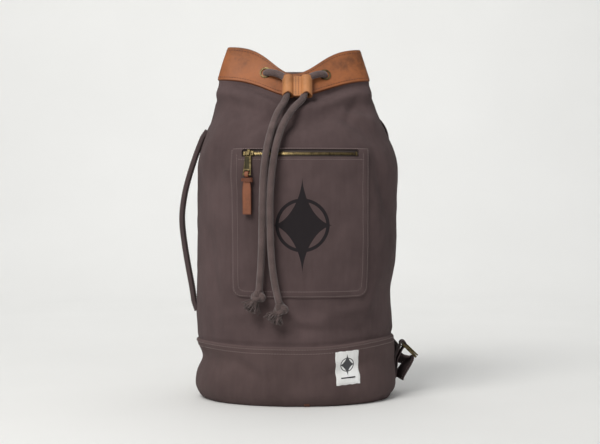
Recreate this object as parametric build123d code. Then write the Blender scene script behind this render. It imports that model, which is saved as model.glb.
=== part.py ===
"""Travel backpack: a canvas bucket bag with a leather collar, a drawcord, a zipped pocket,
a side handle and two buckled shoulder straps.

Frame: origin at the centre of the underside, +Z up, the front faces -Y, +X to the right.
Millimetres. Every layer of the bag is a shell between two offsets of one oval surface.
"""
from build123d import *
from functools import lru_cache
from math import asin, atan, cos, degrees, exp, pi, radians, sin, sqrt, tan
import os

# ---- driving dimensions -------------------------------------------------------------
HALF_WIDTH = 139.0          # body, side to side
HALF_DEPTH = 112.0          # body, front to back
BASE_CORNER = 13.0          # radius of the rounded bottom edge
SHOULDER_Z = 316.0          # the body narrows above this height
SHOULDER_RUN = 112.0        # height over which its width narrows
SHOULDER_LOSS = 30.0
DEPTH_RUN = 164.0           # height over which its depth narrows
TOP_HALF_DEPTH = 30.0
COLLAR_TAPER_Z = 415.0
COLLAR_TAPER = 17.0
TOP_Z = 487.0               # highest point of the collar
TOP_LEAN = -5.0             # the collar sits this far left of the base centre
SKIN = 2.0                  # thickness of folded canvas and of leather
GAP = 0.1                   # play between two layers

BAND_TOP = 80.0             # lower canvas band
BODY_TOP = 462.0            # canvas panels end inside the collar
LINING_TOP = 425.0
BASE_THICK = 1.9
STIFFENER_THICK = 2.0

COLLAR_BOTTOM = 441.0       # lower edge of the leather at the sides
TOP_DIP = 39.0              # the drawcord pulls the middle of the top edge down
TOP_DIP_LEFT = 40.0
TOP_DIP_RIGHT = 49.0
BOTTOM_DIP = 25.0
BOTTOM_DIP_LEFT = 51.0
BOTTOM_DIP_RIGHT = 63.0

ROPE = 9.2                  # drawcord diameter
EYELETS = ((-43.0, 449.0), (38.0, 446.0))
EYELET_BORE = 11.6
EYELET_BARREL = 13.4
EYELET_FLANGE = 15.8

LOCK_Z = 424.0              # middle of the leather cord lock
LOCK_LENGTH = 34.0
LOCK_TUBE_X = 12.4          # each rope tube sits this far from the middle
LOCK_BORE = 10.4
LOCK_WALL = 2.0
LOCK_STANDOFF = 10.5        # rope centre above the body surface, inside the lock

POCKET_LEFT = -87.0
POCKET_RIGHT = 95.0
POCKET_BOTTOM = 146.0
POCKET_TOP = 345.0
POCKET_CORNER = 13.0

ZIP_Z = 338.0
ZIP_LEFT = -72.0
ZIP_RIGHT = 81.0
ZIP_SLOT = 9.6              # height of the slot in the pocket panel
TAPE_FACE = 2.2             # front of the zip tape above the body
TOOTH_PITCH = 2.5
SLIDER_X = -62.4

STRAP_WIDTH = 38.0
STRAP_THICK = 3.0
STRAP_END_WIDTH = 28.0
BUCKLE_WIRE = 3.2
BUCKLE_Y = 30.0             # centre plane of each buckle, towards the back
BUCKLE_LENGTH = 24.0
LOWER_TAB_WIDTH = 26.0
TAB_WALL = 1.6
BUCKLE_WIDTH = 38.0

LABEL_X = 67.0
LABEL_Z = 52.0
LABEL_WIDTH = 32.0
LABEL_HEIGHT = 45.0

FAR = 400.0                 # larger than the bag, for cutting tools


# ---- the oval surface that every layer follows -----------------------------------------
def smoothstep(t):
    t = min(1.0, max(0.0, t))
    return t * t * (3 - 2 * t)


def corner(z):
    """How much the rounded bottom edge takes off each half size at height z."""
    if z >= BASE_CORNER:
        return 0.0
    rise = (BASE_CORNER - z) / BASE_CORNER
    return BASE_CORNER * (1 - sqrt(1 - rise * rise))


def half_width(z):
    taper = COLLAR_TAPER * (max(0.0, z - COLLAR_TAPER_Z) / (TOP_Z - COLLAR_TAPER_Z)) ** 1.3
    shoulder = SHOULDER_LOSS * smoothstep((z - SHOULDER_Z) / SHOULDER_RUN)
    return HALF_WIDTH - corner(z) - shoulder - taper


def half_depth(z):
    pinch = (HALF_DEPTH - TOP_HALF_DEPTH) * smoothstep((z - SHOULDER_Z) / DEPTH_RUN)
    return HALF_DEPTH - corner(z) - pinch


def centre_x(z):
    return TOP_LEAN * smoothstep((z - SHOULDER_Z) / SHOULDER_RUN)


def slope(function, z):
    step = 0.5
    return (function(z + step) - function(z - step)) / (2 * step)


def surface_point(x, z, offset=0.0, side=-1):
    """Point above the oval at x and height z; side -1 is the front, +1 the back."""
    a, b = half_width(z), half_depth(z)
    u = (x - centre_x(z)) / a
    y = side * b * sqrt(max(0.0, 1 - u * u))
    nx = u / a
    ny = y / (b * b)
    nz = -u * u * slope(half_width, z) / a - u * slope(centre_x, z) / a
    nz -= (y / b) ** 2 * slope(half_depth, z) / b
    normal = Vector(nx, ny, nz).normalized()
    return Vector(x, y, z) + normal * offset


def surface_normal(x, z, side=-1):
    return (surface_point(x, z, 1.0, side) - surface_point(x, z, 0.0, side)).normalized()


def section_heights():
    """Section heights, close together where the surface curves."""
    heights = [0, 0.6, 2, 4, 7, 10, 13, 24, 60, 120, 180, 240, 290]
    steps = 12
    return heights + [SHOULDER_Z + (TOP_Z - SHOULDER_Z) * i / steps for i in range(steps + 1)]


@lru_cache(maxsize=None)
def whole_oval(offset):
    """Solid oval of the bag's full height, grown by an offset."""
    sections = []
    for z in section_heights():
        place = Plane(origin=(centre_x(z), 0, z))
        sections.append(place * Ellipse(half_width(z) + offset, half_depth(z) + offset))
    return loft(sections, ruled=True)


def slab(low, high):
    return Pos(0, 0, (low + high) / 2) * Box(3 * FAR, 3 * FAR, high - low)


def oval_solid(offset, low, high):
    return whole_oval(offset) & slab(low, high)


def shell(inner, outer, low, high):
    return (whole_oval(outer) & slab(low, high)) - whole_oval(inner)


def front_half(gap=GAP / 2):
    return Pos(0, -FAR / 2 - gap, FAR / 2) * Box(3 * FAR, FAR, 3 * FAR)


def back_half(gap=GAP / 2):
    return Pos(0, FAR / 2 + gap, FAR / 2) * Box(3 * FAR, FAR, 3 * FAR)


def front_prism(face, y_from=-FAR, y_to=0.0):
    """Extrudes a face drawn in X and Z along Y."""
    plane = Plane(origin=(0, y_to, 0), x_dir=(1, 0, 0), z_dir=(0, -1, 0))
    return extrude(plane * face, y_to - y_from)


# ---- canvas body -------------------------------------------------------------------------
def body_panels():
    wall = shell(-SKIN, 0, 8.0, BODY_TOP) & front_prism(below_top_edge(8.0), -FAR, FAR)
    return wall & front_half(), wall & back_half()


def band_panels():
    wall = shell(GAP, SKIN, 0.0, BAND_TOP)
    return wall & front_half(), wall & back_half()


def base_panel():
    return extrude(Ellipse(half_width(0) - 0.3, half_depth(0) - 0.3), BASE_THICK)


def base_stiffener():
    z = BASE_THICK + 0.1
    disc = Ellipse(half_width(z) - 4.0, half_depth(z) - 4.0)
    return Pos(0, 0, z) * extrude(disc, STIFFENER_THICK)


def lining():
    floor_z = BASE_THICK + STIFFENER_THICK + 0.3
    outer = oval_solid(-SKIN - GAP, floor_z, LINING_TOP - BOTTOM_DIP)
    inner = oval_solid(-SKIN - 1.2, floor_z + 1.1, LINING_TOP - BOTTOM_DIP + 1)
    return outer - inner


# ---- leather collar ------------------------------------------------------------------------
def dip(x, depth, left, right):
    middle = TOP_LEAN
    spread = left if x < middle else right
    return depth * exp(-((x - middle) / spread) ** 2)


def edge_points(z, depth, left, right, drop=0.0):
    xs = [-120 + 12 * i for i in range(0, 21)]
    return [(x, z - drop - dip(x, depth, left, right)) for x in xs]


def between_edges(upper, lower):
    outline = [Spline(*upper), Line(upper[-1], lower[-1]), Spline(*lower[::-1]), Line(lower[0], upper[0])]
    return make_face(outline)


def below_top_edge(low):
    """Everything under a line 6 mm below the collar's top edge, down to a height."""
    upper = edge_points(TOP_Z, TOP_DIP, TOP_DIP_LEFT, TOP_DIP_RIGHT, drop=6.0)
    upper = [(-160, upper[0][1])] + upper[1:-1] + [(160, upper[-1][1])]
    outline = [Spline(*upper), Line(upper[-1], (160, low)), Line((160, low), (-160, low))]
    outline.append(Line((-160, low), upper[0]))
    return make_face(outline)


def collar_panels():
    upper = edge_points(TOP_Z, TOP_DIP, TOP_DIP_LEFT, TOP_DIP_RIGHT)
    lower = edge_points(COLLAR_BOTTOM, BOTTOM_DIP, BOTTOM_DIP_LEFT, BOTTOM_DIP_RIGHT)
    cut = front_prism(between_edges(upper, lower), -FAR, FAR)
    wall = shell(GAP, SKIN, COLLAR_BOTTOM - BOTTOM_DIP - 4, TOP_Z) & cut
    return wall & front_half(), wall & back_half()


def collar_facing():
    """Leather band on the inside of the mouth, front and back."""
    upper = edge_points(TOP_Z, TOP_DIP, TOP_DIP_LEFT, TOP_DIP_RIGHT)
    lower = edge_points(COLLAR_BOTTOM, BOTTOM_DIP, BOTTOM_DIP_LEFT, BOTTOM_DIP_RIGHT, drop=-4.0)
    cut = front_prism(between_edges(upper, lower), -FAR, FAR)
    wall = shell(-2 * SKIN, -SKIN - GAP, COLLAR_BOTTOM - BOTTOM_DIP, TOP_Z) & cut
    return wall & front_half(), wall & back_half()


def eyelet_plane(x, z):
    return Plane(origin=surface_point(x, z), z_dir=surface_normal(x, z))


def eyelet_hole(x, z):
    return eyelet_plane(x, z) * Cylinder(EYELET_BARREL / 2 + 0.3, 60)


def eyelet(x, z):
    """Brass eyelet: a barrel through the leather with a domed outer flange."""
    low, high = -2 * SKIN - 1.4, SKIN + GAP
    barrel = Pos(0, 0, (low + high) / 2) * Cylinder(EYELET_BARREL / 2, high - low)
    flange = Pos(0, 0, high + 1.0) * Cylinder(EYELET_FLANGE / 2, 1.0)
    bore = Cylinder(EYELET_BORE / 2, 60)
    flange = flange + Pos(0, 0, high + 0.3) * Cylinder(EYELET_BARREL / 2, 0.8)
    ring = barrel + flange - bore
    return eyelet_plane(x, z) * ring


def eyelet_washer(x, z):
    """Flat ring behind the inner leather that the barrel is rolled over."""
    height = -2 * SKIN - 0.9
    ring = Cylinder(EYELET_FLANGE / 2 - 0.5, 0.8) - Cylinder(EYELET_BARREL / 2 + 0.05, 2)
    return eyelet_plane(x, z) * Pos(0, 0, height) * ring


# ---- cords -----------------------------------------------------------------------------------
def cord_path(points):
    """Straight runs joined by arcs, each as large as its two runs allow."""
    radii = []
    vectors = [Vector(*p) for p in points]
    for before, here, after in zip(vectors, vectors[1:], vectors[2:]):
        turn = (here - before).get_angle(after - here)
        run = min((here - before).length, (after - here).length)
        radii.append(0.45 * run / tan(radians(turn / 2)))
    return FilletPolyline(*vectors, radius=radii), radii


def cord_sweep(points, diameter):
    path, radii = cord_path(points)
    section = Plane(origin=path @ 0, z_dir=path % 0) * Circle(diameter / 2)
    return sweep(section, path=path), path, radii


def cord_tube(name, points):
    tube, path, radii = cord_sweep(points, ROPE)
    expected = pi * (ROPE / 2) ** 2 * path.length
    print(name, "length", round(path.length, 1), "volume ratio", round(tube.volume / expected, 4),
          "radii", [round(r) for r in radii])
    return tube


def lock_point(x, along):
    """Point on a rope's centre line inside the cord lock, measured down from the lock's middle."""
    base = surface_point(0, LOCK_Z, LOCK_STANDOFF)
    down = lock_plane().z_dir * -1
    return base + Vector(x, 0, 0) + down * along


def lock_plane():
    across = surface_normal(0, LOCK_Z)
    up = Vector(1, 0, 0).cross(across)
    up = up if up.Z > 0 else up * -1
    return Plane(origin=surface_point(0, LOCK_Z, LOCK_STANDOFF), x_dir=(1, 0, 0), z_dir=up)


LEFT_TAIL = [
    (-12.4, -61.3, 430.0),
    (-13.2, -71.2, 413.0),
    (-26.5, -88.5, 394.5),
    (-36.3, -109.5, 363.5),
    (-41.4, -121.4, 338.5),
    (-44.4, -126.0, 310.0),
    (-45.6, -126.2, 281.0),
    (-46.0, -124.6, 253.0),
    (-46.4, -120.8, 224.5),
    (-47.4, -118.9, 195.5),
    (-49.2, -118.4, 169.0),
    (-50.3, -118.2, 157.0),
]
RIGHT_TAIL = [
    (12.4, -61.3, 430.0),
    (10.5, -71.0, 414.0),
    (-4.0, -83.5, 401.5),
    (-18.8, -101.0, 379.0),
    (-27.0, -116.8, 353.0),
    (-31.5, -124.8, 327.0),
    (-34.6, -126.0, 299.5),
    (-35.9, -124.9, 270.0),
    (-35.4, -123.2, 240.0),
    (-34.6, -122.2, 210.0),
    (-32.0, -122.2, 182.0),
    (-27.5, -122.9, 156.0),
    (-23.4, -123.5, 140.0),
]


def held_cord():
    """The drawcord where the collar and the lock hold it: lock, eyelet, round inside the mouth, eyelet, lock."""
    (left_x, left_z), (right_x, right_z) = EYELETS
    rim = ROPE / 2 + SKIN + 2.4
    points = [lock_point(-LOCK_TUBE_X, -1.8), lock_point(-LOCK_TUBE_X - 1, -17.0)]
    points.append(surface_point(left_x, left_z, rim))
    points.append(surface_point(left_x, left_z, -15.0))
    points += [(-64.0, 0.5, 449.0), (-40.0, 22.0, 450.0), (-3.0, 26.0, 451.0), (34.0, 22.5, 450.0)]
    points += [(58.0, 0.5, 448.0)]
    points.append(surface_point(right_x, right_z, -15.0))
    points.append(surface_point(right_x, right_z, rim))
    points += [lock_point(LOCK_TUBE_X + 1, -17.0), lock_point(LOCK_TUBE_X, -1.8)]
    return [tuple(Vector(*p)) if isinstance(p, tuple) else tuple(p) for p in points]


def knot(end, before):
    """Plain lump of an overhand knot at a tail's end."""
    direction = (Vector(*end) - Vector(*before)).normalized()
    place = Plane(origin=Vector(*end) + direction * 8.2, z_dir=direction)
    return place * scale(Sphere(1), by=(9.0, 7.6, 8.1))


def fray(end, before, length):
    """Frayed rope end below the knot: a short cone that widens downwards."""
    direction = (Vector(*end) - Vector(*before)).normalized()
    place = Plane(origin=Vector(*end) + direction * 16.4, z_dir=direction)
    return place * loft([Circle(4.0), Pos(0, 0, length) * Circle(7.5)])


def cord_lock():
    """Two leather pieces sewn together down the middle, with a rope tube at each side."""
    rings = []
    for x in (-LOCK_TUBE_X, LOCK_TUBE_X):
        rings.append(Pos(x, 0) * (Circle(LOCK_BORE / 2 + LOCK_WALL) - Circle(LOCK_BORE / 2)))
    web = Rectangle(2 * LOCK_TUBE_X - LOCK_BORE - 0.4, 2 * LOCK_WALL)
    profile = rings[0] + rings[1] + web
    block = lock_plane() * Pos(0, 0, -LOCK_LENGTH / 2) * extrude(profile, LOCK_LENGTH)
    cut = Pos(0, FAR / 2 + GAP / 2, 0) * Box(FAR, FAR, FAR)
    away = lock_plane() * cut
    near = lock_plane() * Rot(0, 0, 180) * cut
    for route in (held_cord(), LEFT_TAIL, RIGHT_TAIL):
        block = block - cord_sweep(route, ROPE + 0.6)[0]
    return block & away, block & near


# ---- pocket and zip ------------------------------------------------------------------------------
def pocket_outline(inset=0.0):
    width = POCKET_RIGHT - POCKET_LEFT - 2 * inset
    height = POCKET_TOP - POCKET_BOTTOM - 2 * inset
    middle = ((POCKET_RIGHT + POCKET_LEFT) / 2, (POCKET_TOP + POCKET_BOTTOM) / 2)
    return Pos(*middle) * RectangleRounded(width, height, POCKET_CORNER - inset)


def zip_slot(grow=0.0):
    middle = (ZIP_LEFT + ZIP_RIGHT) / 2
    return Pos(middle, ZIP_Z) * Rectangle(ZIP_RIGHT - ZIP_LEFT + 2 * grow, ZIP_SLOT + 2 * grow)


def pocket_panel():
    wall = shell(2.4, 4.2, POCKET_BOTTOM - 5, POCKET_TOP + 5)
    return wall & front_prism(pocket_outline() - zip_slot())


def pocket_back():
    """Thin cloth behind the pocket, against the body."""
    wall = shell(GAP, 1.0, POCKET_BOTTOM - 5, POCKET_TOP + 5)
    return wall & front_prism(pocket_outline(1.5))


def zip_tape(low, high):
    wall = shell(1.1, 1.8, ZIP_Z - 12, ZIP_Z + 12)
    middle = (ZIP_LEFT + ZIP_RIGHT) / 2
    strip = Pos(middle, (low + high) / 2) * Rectangle(ZIP_RIGHT - ZIP_LEFT + 8, high - low)
    return wall & front_prism(strip & pocket_outline(2.0))


def zip_arc():
    """Radius and centre Y of the circle that the body follows along the zip, seen from above."""
    reach = (ZIP_RIGHT - ZIP_LEFT) / 2
    depth = half_depth(ZIP_Z)
    sagitta = depth * (1 - sqrt(1 - (reach / half_width(ZIP_Z)) ** 2))
    radius = (sagitta ** 2 + reach ** 2) / (2 * sagitta)
    return radius, radius - depth


def on_zip(x, height=0.0, depth=0.0, lean=None):
    """Frame on the zip line: X along it, Y up the leaning tape, Z out. depth is above the tape's face."""
    radius, axis_y = zip_arc()
    radius += TAPE_FACE
    middle = centre_x(ZIP_Z)
    angle = asin((x - middle) / radius)
    direction = Vector(sin(angle), -cos(angle), 0)
    lean = degrees(atan(-slope(half_depth, ZIP_Z))) if lean is None else lean
    origin = Vector(middle, axis_y, ZIP_Z) + direction * radius
    upright = Plane(origin=origin, x_dir=(cos(angle), sin(angle), 0), z_dir=direction)
    return upright * Rot(-lean, 0, 0) * Pos(0, height, depth)


def zip_teeth(row):
    """One row of metal teeth; row 0 is the upper one, row 1 the lower, meshed with it."""
    shift = 0.5 * TOOTH_PITCH * row
    height = 0.55 if row == 0 else -0.55
    count = int((ZIP_RIGHT - ZIP_LEFT - 8) / TOOTH_PITCH)
    teeth = []
    for i in range(count):
        x = ZIP_LEFT + 4 + shift + i * TOOTH_PITCH
        teeth.append(on_zip(x, height, 0.6) * Box(1.05, 3.0, 1.2))
    return Compound(children=teeth)


def zip_stops():
    return Compound(children=[on_zip(x, 0, 0.8) * Box(2.4, 5.0, 1.6) for x in (ZIP_LEFT + 2.1, ZIP_RIGHT - 2.1)])


def slider_outline():
    return make_face(Polyline((-6, -3.0), (-6, 3.0), (-1, 4.4), (6, 3.0), (6, -3.0), (-1, -4.4), close=True))


def zip_slider():
    """Cap over the teeth with a bridge for the puller."""
    top = 3.2
    block = extrude(slider_outline(), top)
    channel = Pos(0, 0, 0.75) * Box(14, 4.8, 1.9)
    feet = Pos(0, -2.9, top + 1.1) * Box(3.0, 1.4, 2.2) + Pos(0, 2.9, top + 1.1) * Box(3.0, 1.4, 2.2)
    rail = Pos(0, 0, top + 2.8) * Box(3.0, 7.2, 1.2)
    body = fillet(block.edges().group_by(Axis.Z)[-1], 0.7) - channel + feet + rail
    return on_zip(SLIDER_X) * Pos(0, 0, 0.15) * body


PULLER_LIFT = 4.5           # pivot above the tape, inside the slider's bridge
PULLER_LEAN = 11.5          # it rests on the pocket, which bulges out below the zip
TAB_DROP = 29.0             # from the puller's pivot down to the tab's pivot


def puller_plane():
    lift = on_zip(SLIDER_X) * Pos(0, 0, PULLER_LIFT)
    radius_frame = on_zip(SLIDER_X, lean=PULLER_LEAN)
    return Plane(origin=lift.position, x_dir=Plane(radius_frame).x_dir, z_dir=Plane(radius_frame).z_dir)


def zip_puller():
    """Tapered brass plate with a window at its foot for the leather tab."""
    outline = Polyline((-4.2, -4.7), (4.2, -4.7), (6.0, -31), (-6.0, -31), close=True)
    plate = Pos(0, 0, -0.1) * extrude(make_face(outline), 2.0)
    window = Pos(0, -26.6, 1) * Box(8.4, 4.4, 8)
    recess = Pos(0, -14.2, 2.0) * Box(6.2, 16.0, 0.8)
    arms = Pos(-2.7, -2.3, 0) * Box(1.3, 5.6, 1.1) + Pos(2.7, -2.3, 0) * Box(1.3, 5.6, 1.1)
    pin = Box(6.7, 1.0, 1.0)
    return puller_plane() * (plate - window - recess + arms + pin)


def tab_plane():
    """Upright frame at the tab's pivot, in the foot of the puller."""
    pivot = (puller_plane() * Pos(0, -TAB_DROP, 0.9)).position
    frame = Plane(on_zip(SLIDER_X, lean=0.0))
    return Plane(origin=pivot, x_dir=frame.x_dir, z_dir=frame.z_dir)


def pull_tab():
    """Leather strip looped round the foot of the puller, and hanging below it."""
    loop = Box(6.6, 8.0, 6.0) - Box(9.0, 4.8, 3.2)
    neck = Pos(0, -6.0, 0) * Box(6.6, 4.4, 4.0)
    strip = Pos(0, -31.0, 0) * Box(12.0, 46.0, 2.6)
    return tab_plane() * (loop + neck + strip)


def pull_tab_wrap():
    """The narrow end of the strip, wound round its neck as a knot."""
    ring = Box(16.0, 5.2, 7.0) - Box(7.2, 8.0, 4.6)
    ring = fillet(ring.edges().filter_by(Axis.Y), 0.8)
    return tab_plane() * Pos(0, -7.0, 0) * (ring - Pos(0, -3.0, 0) * Box(12.8, 4.2, 3.2))


# ---- label -----------------------------------------------------------------------------------------
def label():
    wall = shell(SKIN + GAP, SKIN + 0.7, LABEL_Z - 30, BAND_TOP - 2)
    outline = Pos(LABEL_X, LABEL_Z) * Rot(0, 0, 3) * Rectangle(LABEL_WIDTH, LABEL_HEIGHT)
    return wall & front_prism(outline)


def base_tab():
    """Small leather tab caught in the front of the bottom seam."""
    wall = shell(SKIN + GAP, 2 * SKIN, 0.6, 12.0)
    return wall & front_prism(Pos(13, 4.6) * Rectangle(7, 8))


# ---- ribbons: handle and straps ----------------------------------------------------------------------
def ribbon(stations, thickness):
    """Solid strip through stations of (centre, across direction, width)."""
    faces = []
    centres = [Vector(*s[0]) for s in stations]
    last = len(stations) - 1
    for i, (_, across, width) in enumerate(stations):
        along = (centres[min(i + 1, last)] - centres[max(i - 1, 0)]).normalized()
        side = Vector(*across)
        side = (side - along * side.dot(along)).normalized()
        plane = Plane(origin=centres[i], x_dir=side, z_dir=along)
        faces.append(plane * Rectangle(width, thickness))
    return loft(faces, ruled=True)


def blend_points(points, steps):
    """Catmull-Rom points through the given ones."""
    rows = [Vector(*p) for p in points]
    rows = [rows[0] * 2 - rows[1]] + rows + [rows[-1] * 2 - rows[-2]]
    out = []
    for a, b, c, d in zip(rows, rows[1:], rows[2:], rows[3:]):
        for i in range(steps):
            t = i / steps
            out.append((b * 2 + (c - a) * t + (a * 2 - b * 5 + c * 4 - d) * t ** 2
                        + (b * 3 - a - c * 3 + d) * t ** 3) * 0.5)
    return out + [rows[-2]]


HANDLE_ROUTE = [(-129, 0, 372), (-141, 0, 347), (-151, 0, 316), (-158.5, 0, 284), (-161, 0, 250),
                (-159.5, 0, 216), (-155.5, 0, 182), (-149, 0, 152), (-144, 0, 128)]
HANDLE_WIDTH = 22.0
HANDLE_THICK = 6.5
HANDLE_CUT_TOP = 322.0
HANDLE_CUT_BOTTOM = 178.0
HANDLE_CLEAR = 0.5


def handle_strip(low, high):
    stations = [(p, (0, 1, 0), HANDLE_WIDTH) for p in blend_points(HANDLE_ROUTE, 4)]
    whole = ribbon(stations, HANDLE_THICK)
    slab = Pos(0, 0, (low + high) / 2) * Box(3 * FAR, FAR, high - low)
    return whole & slab


STRAP_ROUTE = [
    ((26, 47, 446), (1, 0, 0)),
    ((46, 66, 428), (1, -0.2, 0)),
    ((84, 92, 404), (1, -0.55, -0.25)),
    ((110, 104, 374), (1, -0.75, -0.1)),
    ((113, 114, 330), (1, -0.75, 0)),
    ((100, 124, 280), (1, -0.6, 0)),
    ((90, 128, 225), (1, -0.45, 0)),
    ((92, 124, 170), (1, -0.5, 0.1)),
]
# The lowest stations differ, because the left buckle lies further round the back.
STRAP_END = {
    1: [((108, 108, 122), (0.9, -0.6, 0.35)), ((131, 82, 86), (0.5, -0.45, 0.75)), ((150, 56, 62), (0.2, 0.1, 1))],
    -1: [((94, 122, 128), (0.9, -0.5, 0.3)), ((97, 121, 92), (0.7, -0.3, 0.6)), ((106, 112, 62), (0.4, -0.1, 1))],
}


def mirrored(side, vector):
    return (side * vector[0], vector[1], vector[2])


def shoulder_strap(side):
    route = STRAP_ROUTE + STRAP_END[side]
    points = blend_points([mirrored(side, p) for p, _ in route], 3)
    sides = blend_points([mirrored(side, d) for _, d in route], 3)
    last = len(points) - 1
    stations = []
    for i, (point, across) in enumerate(zip(points, sides)):
        narrowing = smoothstep((i / last - 0.62) / 0.2)
        width = STRAP_WIDTH + (STRAP_END_WIDTH - STRAP_WIDTH) * narrowing
        stations.append((tuple(point), tuple(across), width))
    return ribbon(stations, STRAP_THICK)


# ---- buckles -------------------------------------------------------------------------------------
BUCKLE_BAR = (150.0, 70.0)          # X and Z of the heel bar on the right side
BUCKLE_TILT = 44.0                  # the frame slopes down and outwards from its heel bar


LEFT_ROUND = 25.0                   # degrees that the left buckle lies further round the back
LEFT_INSET = 10.2                   # the oval is that much nearer the middle there


def on_side(side, shape):
    """Places a piece made for the right side: as it is, or mirrored and moved round the back."""
    if side > 0:
        return shape
    inset = Pos(LEFT_INSET, 0, 0)
    return Rot(0, 0, -LEFT_ROUND) * inset * mirror(shape, about=Plane.YZ)


def buckle_plane():
    """Frame at the heel bar: X down the buckle, Y across the strap, Z off its face."""
    slant = radians(BUCKLE_TILT)
    x_dir = (cos(slant), 0, -sin(slant))
    z_dir = (sin(slant), 0, cos(slant))
    return Plane(origin=(BUCKLE_BAR[0], BUCKLE_Y, BUCKLE_BAR[1]), x_dir=x_dir, z_dir=z_dir)


def buckle_frame(side):
    """Brass loop with rounded corners; its heel bar lies in the fold of the lower tab."""
    wire = BUCKLE_WIRE
    outer = RectangleRounded(BUCKLE_LENGTH + wire, BUCKLE_WIDTH, 4)
    inner = RectangleRounded(BUCKLE_LENGTH - wire, BUCKLE_WIDTH - 2 * wire, 2)
    ring = extrude(outer - inner, wire / 2, both=True)
    edges = ring.edges().group_by(Axis.Z)
    ring = fillet(edges[0] + edges[-1], 1.1)
    return on_side(side, buckle_plane() * Pos(BUCKLE_LENGTH / 2, 0, 0) * ring)


def buckle_prong(side):
    """Brass tongue hung on the heel bar, resting on the outer bar."""
    lift = BUCKLE_WIRE / 2 + 1.35
    tongue = Pos(BUCKLE_LENGTH / 2 + 1.6, 0, lift) * Box(BUCKLE_LENGTH + 3.2, 2.6, 2.0)
    eye = Rot(90, 0, 0) * (Cylinder(4.2, 2.6) - Cylinder(2.5, 3))
    return on_side(side, buckle_plane() * (tongue + eye))


def lower_tab(side):
    """Doubled canvas sewn to the body; it folds over the heel bar."""
    bar_x, bar_z = BUCKLE_BAR
    nearest = BUCKLE_Y - LOWER_TAB_WIDTH / 2
    root_x = HALF_WIDTH * sqrt(1 - (nearest / HALF_DEPTH) ** 2) + SKIN
    inner_x = root_x + 1.5
    outer_x = inner_x + 2 * TAB_WALL
    tail = Polyline((root_x + 0.8, 22), (inner_x, 50), (bar_x - 4.9, bar_z + 1.5), (bar_x - 3.2, bar_z - 3.6),
                    (outer_x, 49), (outer_x - 0.7, 22), close=True)
    bar = Pos(bar_x, bar_z)
    profile = make_face(tail) + bar * Circle(5.6) - bar * Circle(2.4)
    plane = Plane(origin=(0, BUCKLE_Y, 0), x_dir=(1, 0, 0), z_dir=(0, -1, 0))
    body = extrude(plane * profile, LOWER_TAB_WIDTH / 2, both=True)
    prong_slot = Pos(bar_x, BUCKLE_Y, bar_z) * Box(16, 3.6, 13)
    return on_side(side, body - prong_slot)


def strap_tail(side):
    """Free end of the shoulder strap, past the buckle."""
    centres = ((163.0, 44.5), (160.0, 38.0), (156.5, 30.0), (152.5, 22.0), (150.5, 17.0))
    stations = [((x, BUCKLE_Y, z), (0, 1, 0), STRAP_END_WIDTH) for x, z in centres]
    return on_side(side, ribbon(stations, STRAP_THICK))


# ---- every node ------------------------------------------------------------------------------------
def build_nodes():
    nodes = {}
    holes = [eyelet_hole(x, z) for x, z in EYELETS]

    def pierced(solid):
        for hole in holes:
            solid = solid - hole
        return solid

    front, back = body_panels()
    nodes["body_front_panel"] = pierced(front)
    nodes["body_back_panel"] = back
    nodes["band_front_panel"], nodes["band_back_panel"] = band_panels()
    nodes["base_panel"] = base_panel()
    nodes["base_stiffener"] = base_stiffener()
    nodes["body_lining"] = lining()
    front, back = collar_panels()
    nodes["collar_front"] = pierced(front)
    nodes["collar_back"] = back
    front, back = collar_facing()
    nodes["collar_facing_front"] = pierced(front)
    nodes["collar_facing_back"] = back
    for name, (x, z) in zip(("left", "right"), EYELETS):
        nodes[name + "_eyelet"] = eyelet(x, z)
    nodes["eyelet_washers"] = Compound(children=[eyelet_washer(x, z) for x, z in EYELETS])
    nodes["drawcord_held"] = cord_tube("drawcord_held", held_cord())
    for name, route, fray_length in (("left", LEFT_TAIL, 18.0), ("right", RIGHT_TAIL, 15.0)):
        nodes["drawcord_" + name + "_tail"] = cord_tube(name + " tail", route)
        nodes[name + "_tail_knot"] = knot(route[-1], route[-2])
        nodes[name + "_tail_fray"] = fray(route[-1], route[-2], fray_length)
    nodes["cord_lock_back"], nodes["cord_lock_front"] = cord_lock()
    nodes["pocket_panel"] = pocket_panel()
    nodes["pocket_back"] = pocket_back()
    nodes["zip_tape_upper"] = zip_tape(ZIP_Z + 0.6, ZIP_Z + 10)
    nodes["zip_tape_lower"] = zip_tape(ZIP_Z - 10, ZIP_Z - 0.6)
    nodes["zip_teeth_upper"] = zip_teeth(0)
    nodes["zip_teeth_lower"] = zip_teeth(1)
    nodes["zip_stops"] = zip_stops()
    nodes["zip_slider"] = zip_slider()
    nodes["zip_puller"] = zip_puller()
    nodes["pull_tab"] = pull_tab()
    nodes["pull_tab_wrap"] = pull_tab_wrap()
    nodes["label"] = label()
    nodes["base_tab"] = base_tab()
    nodes["handle_grip"] = handle_strip(HANDLE_CUT_BOTTOM + HANDLE_CLEAR, HANDLE_CUT_TOP - HANDLE_CLEAR)
    nodes["handle_top_end"] = handle_strip(HANDLE_CUT_TOP + HANDLE_CLEAR, 400) - oval_solid(GAP, 200, 420)
    nodes["handle_bottom_end"] = handle_strip(100, HANDLE_CUT_BOTTOM - HANDLE_CLEAR) - oval_solid(GAP, 60, 220)
    for name, side in (("left", -1), ("right", 1)):
        nodes["shoulder_strap_" + name] = shoulder_strap(side)
        nodes["lower_tab_" + name] = lower_tab(side)
        nodes["buckle_frame_" + name] = buckle_frame(side)
        nodes["buckle_prong_" + name] = buckle_prong(side)
        nodes["strap_tail_" + name] = strap_tail(side)
    return nodes


def main():
    os.makedirs("parts", exist_ok=True)
    for name, shape in build_nodes().items():
        shape.label = name
        export_step(shape, "parts/" + name + ".step")


main()
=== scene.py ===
from math import asin, cos, pi, radians, sin, sqrt

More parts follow.
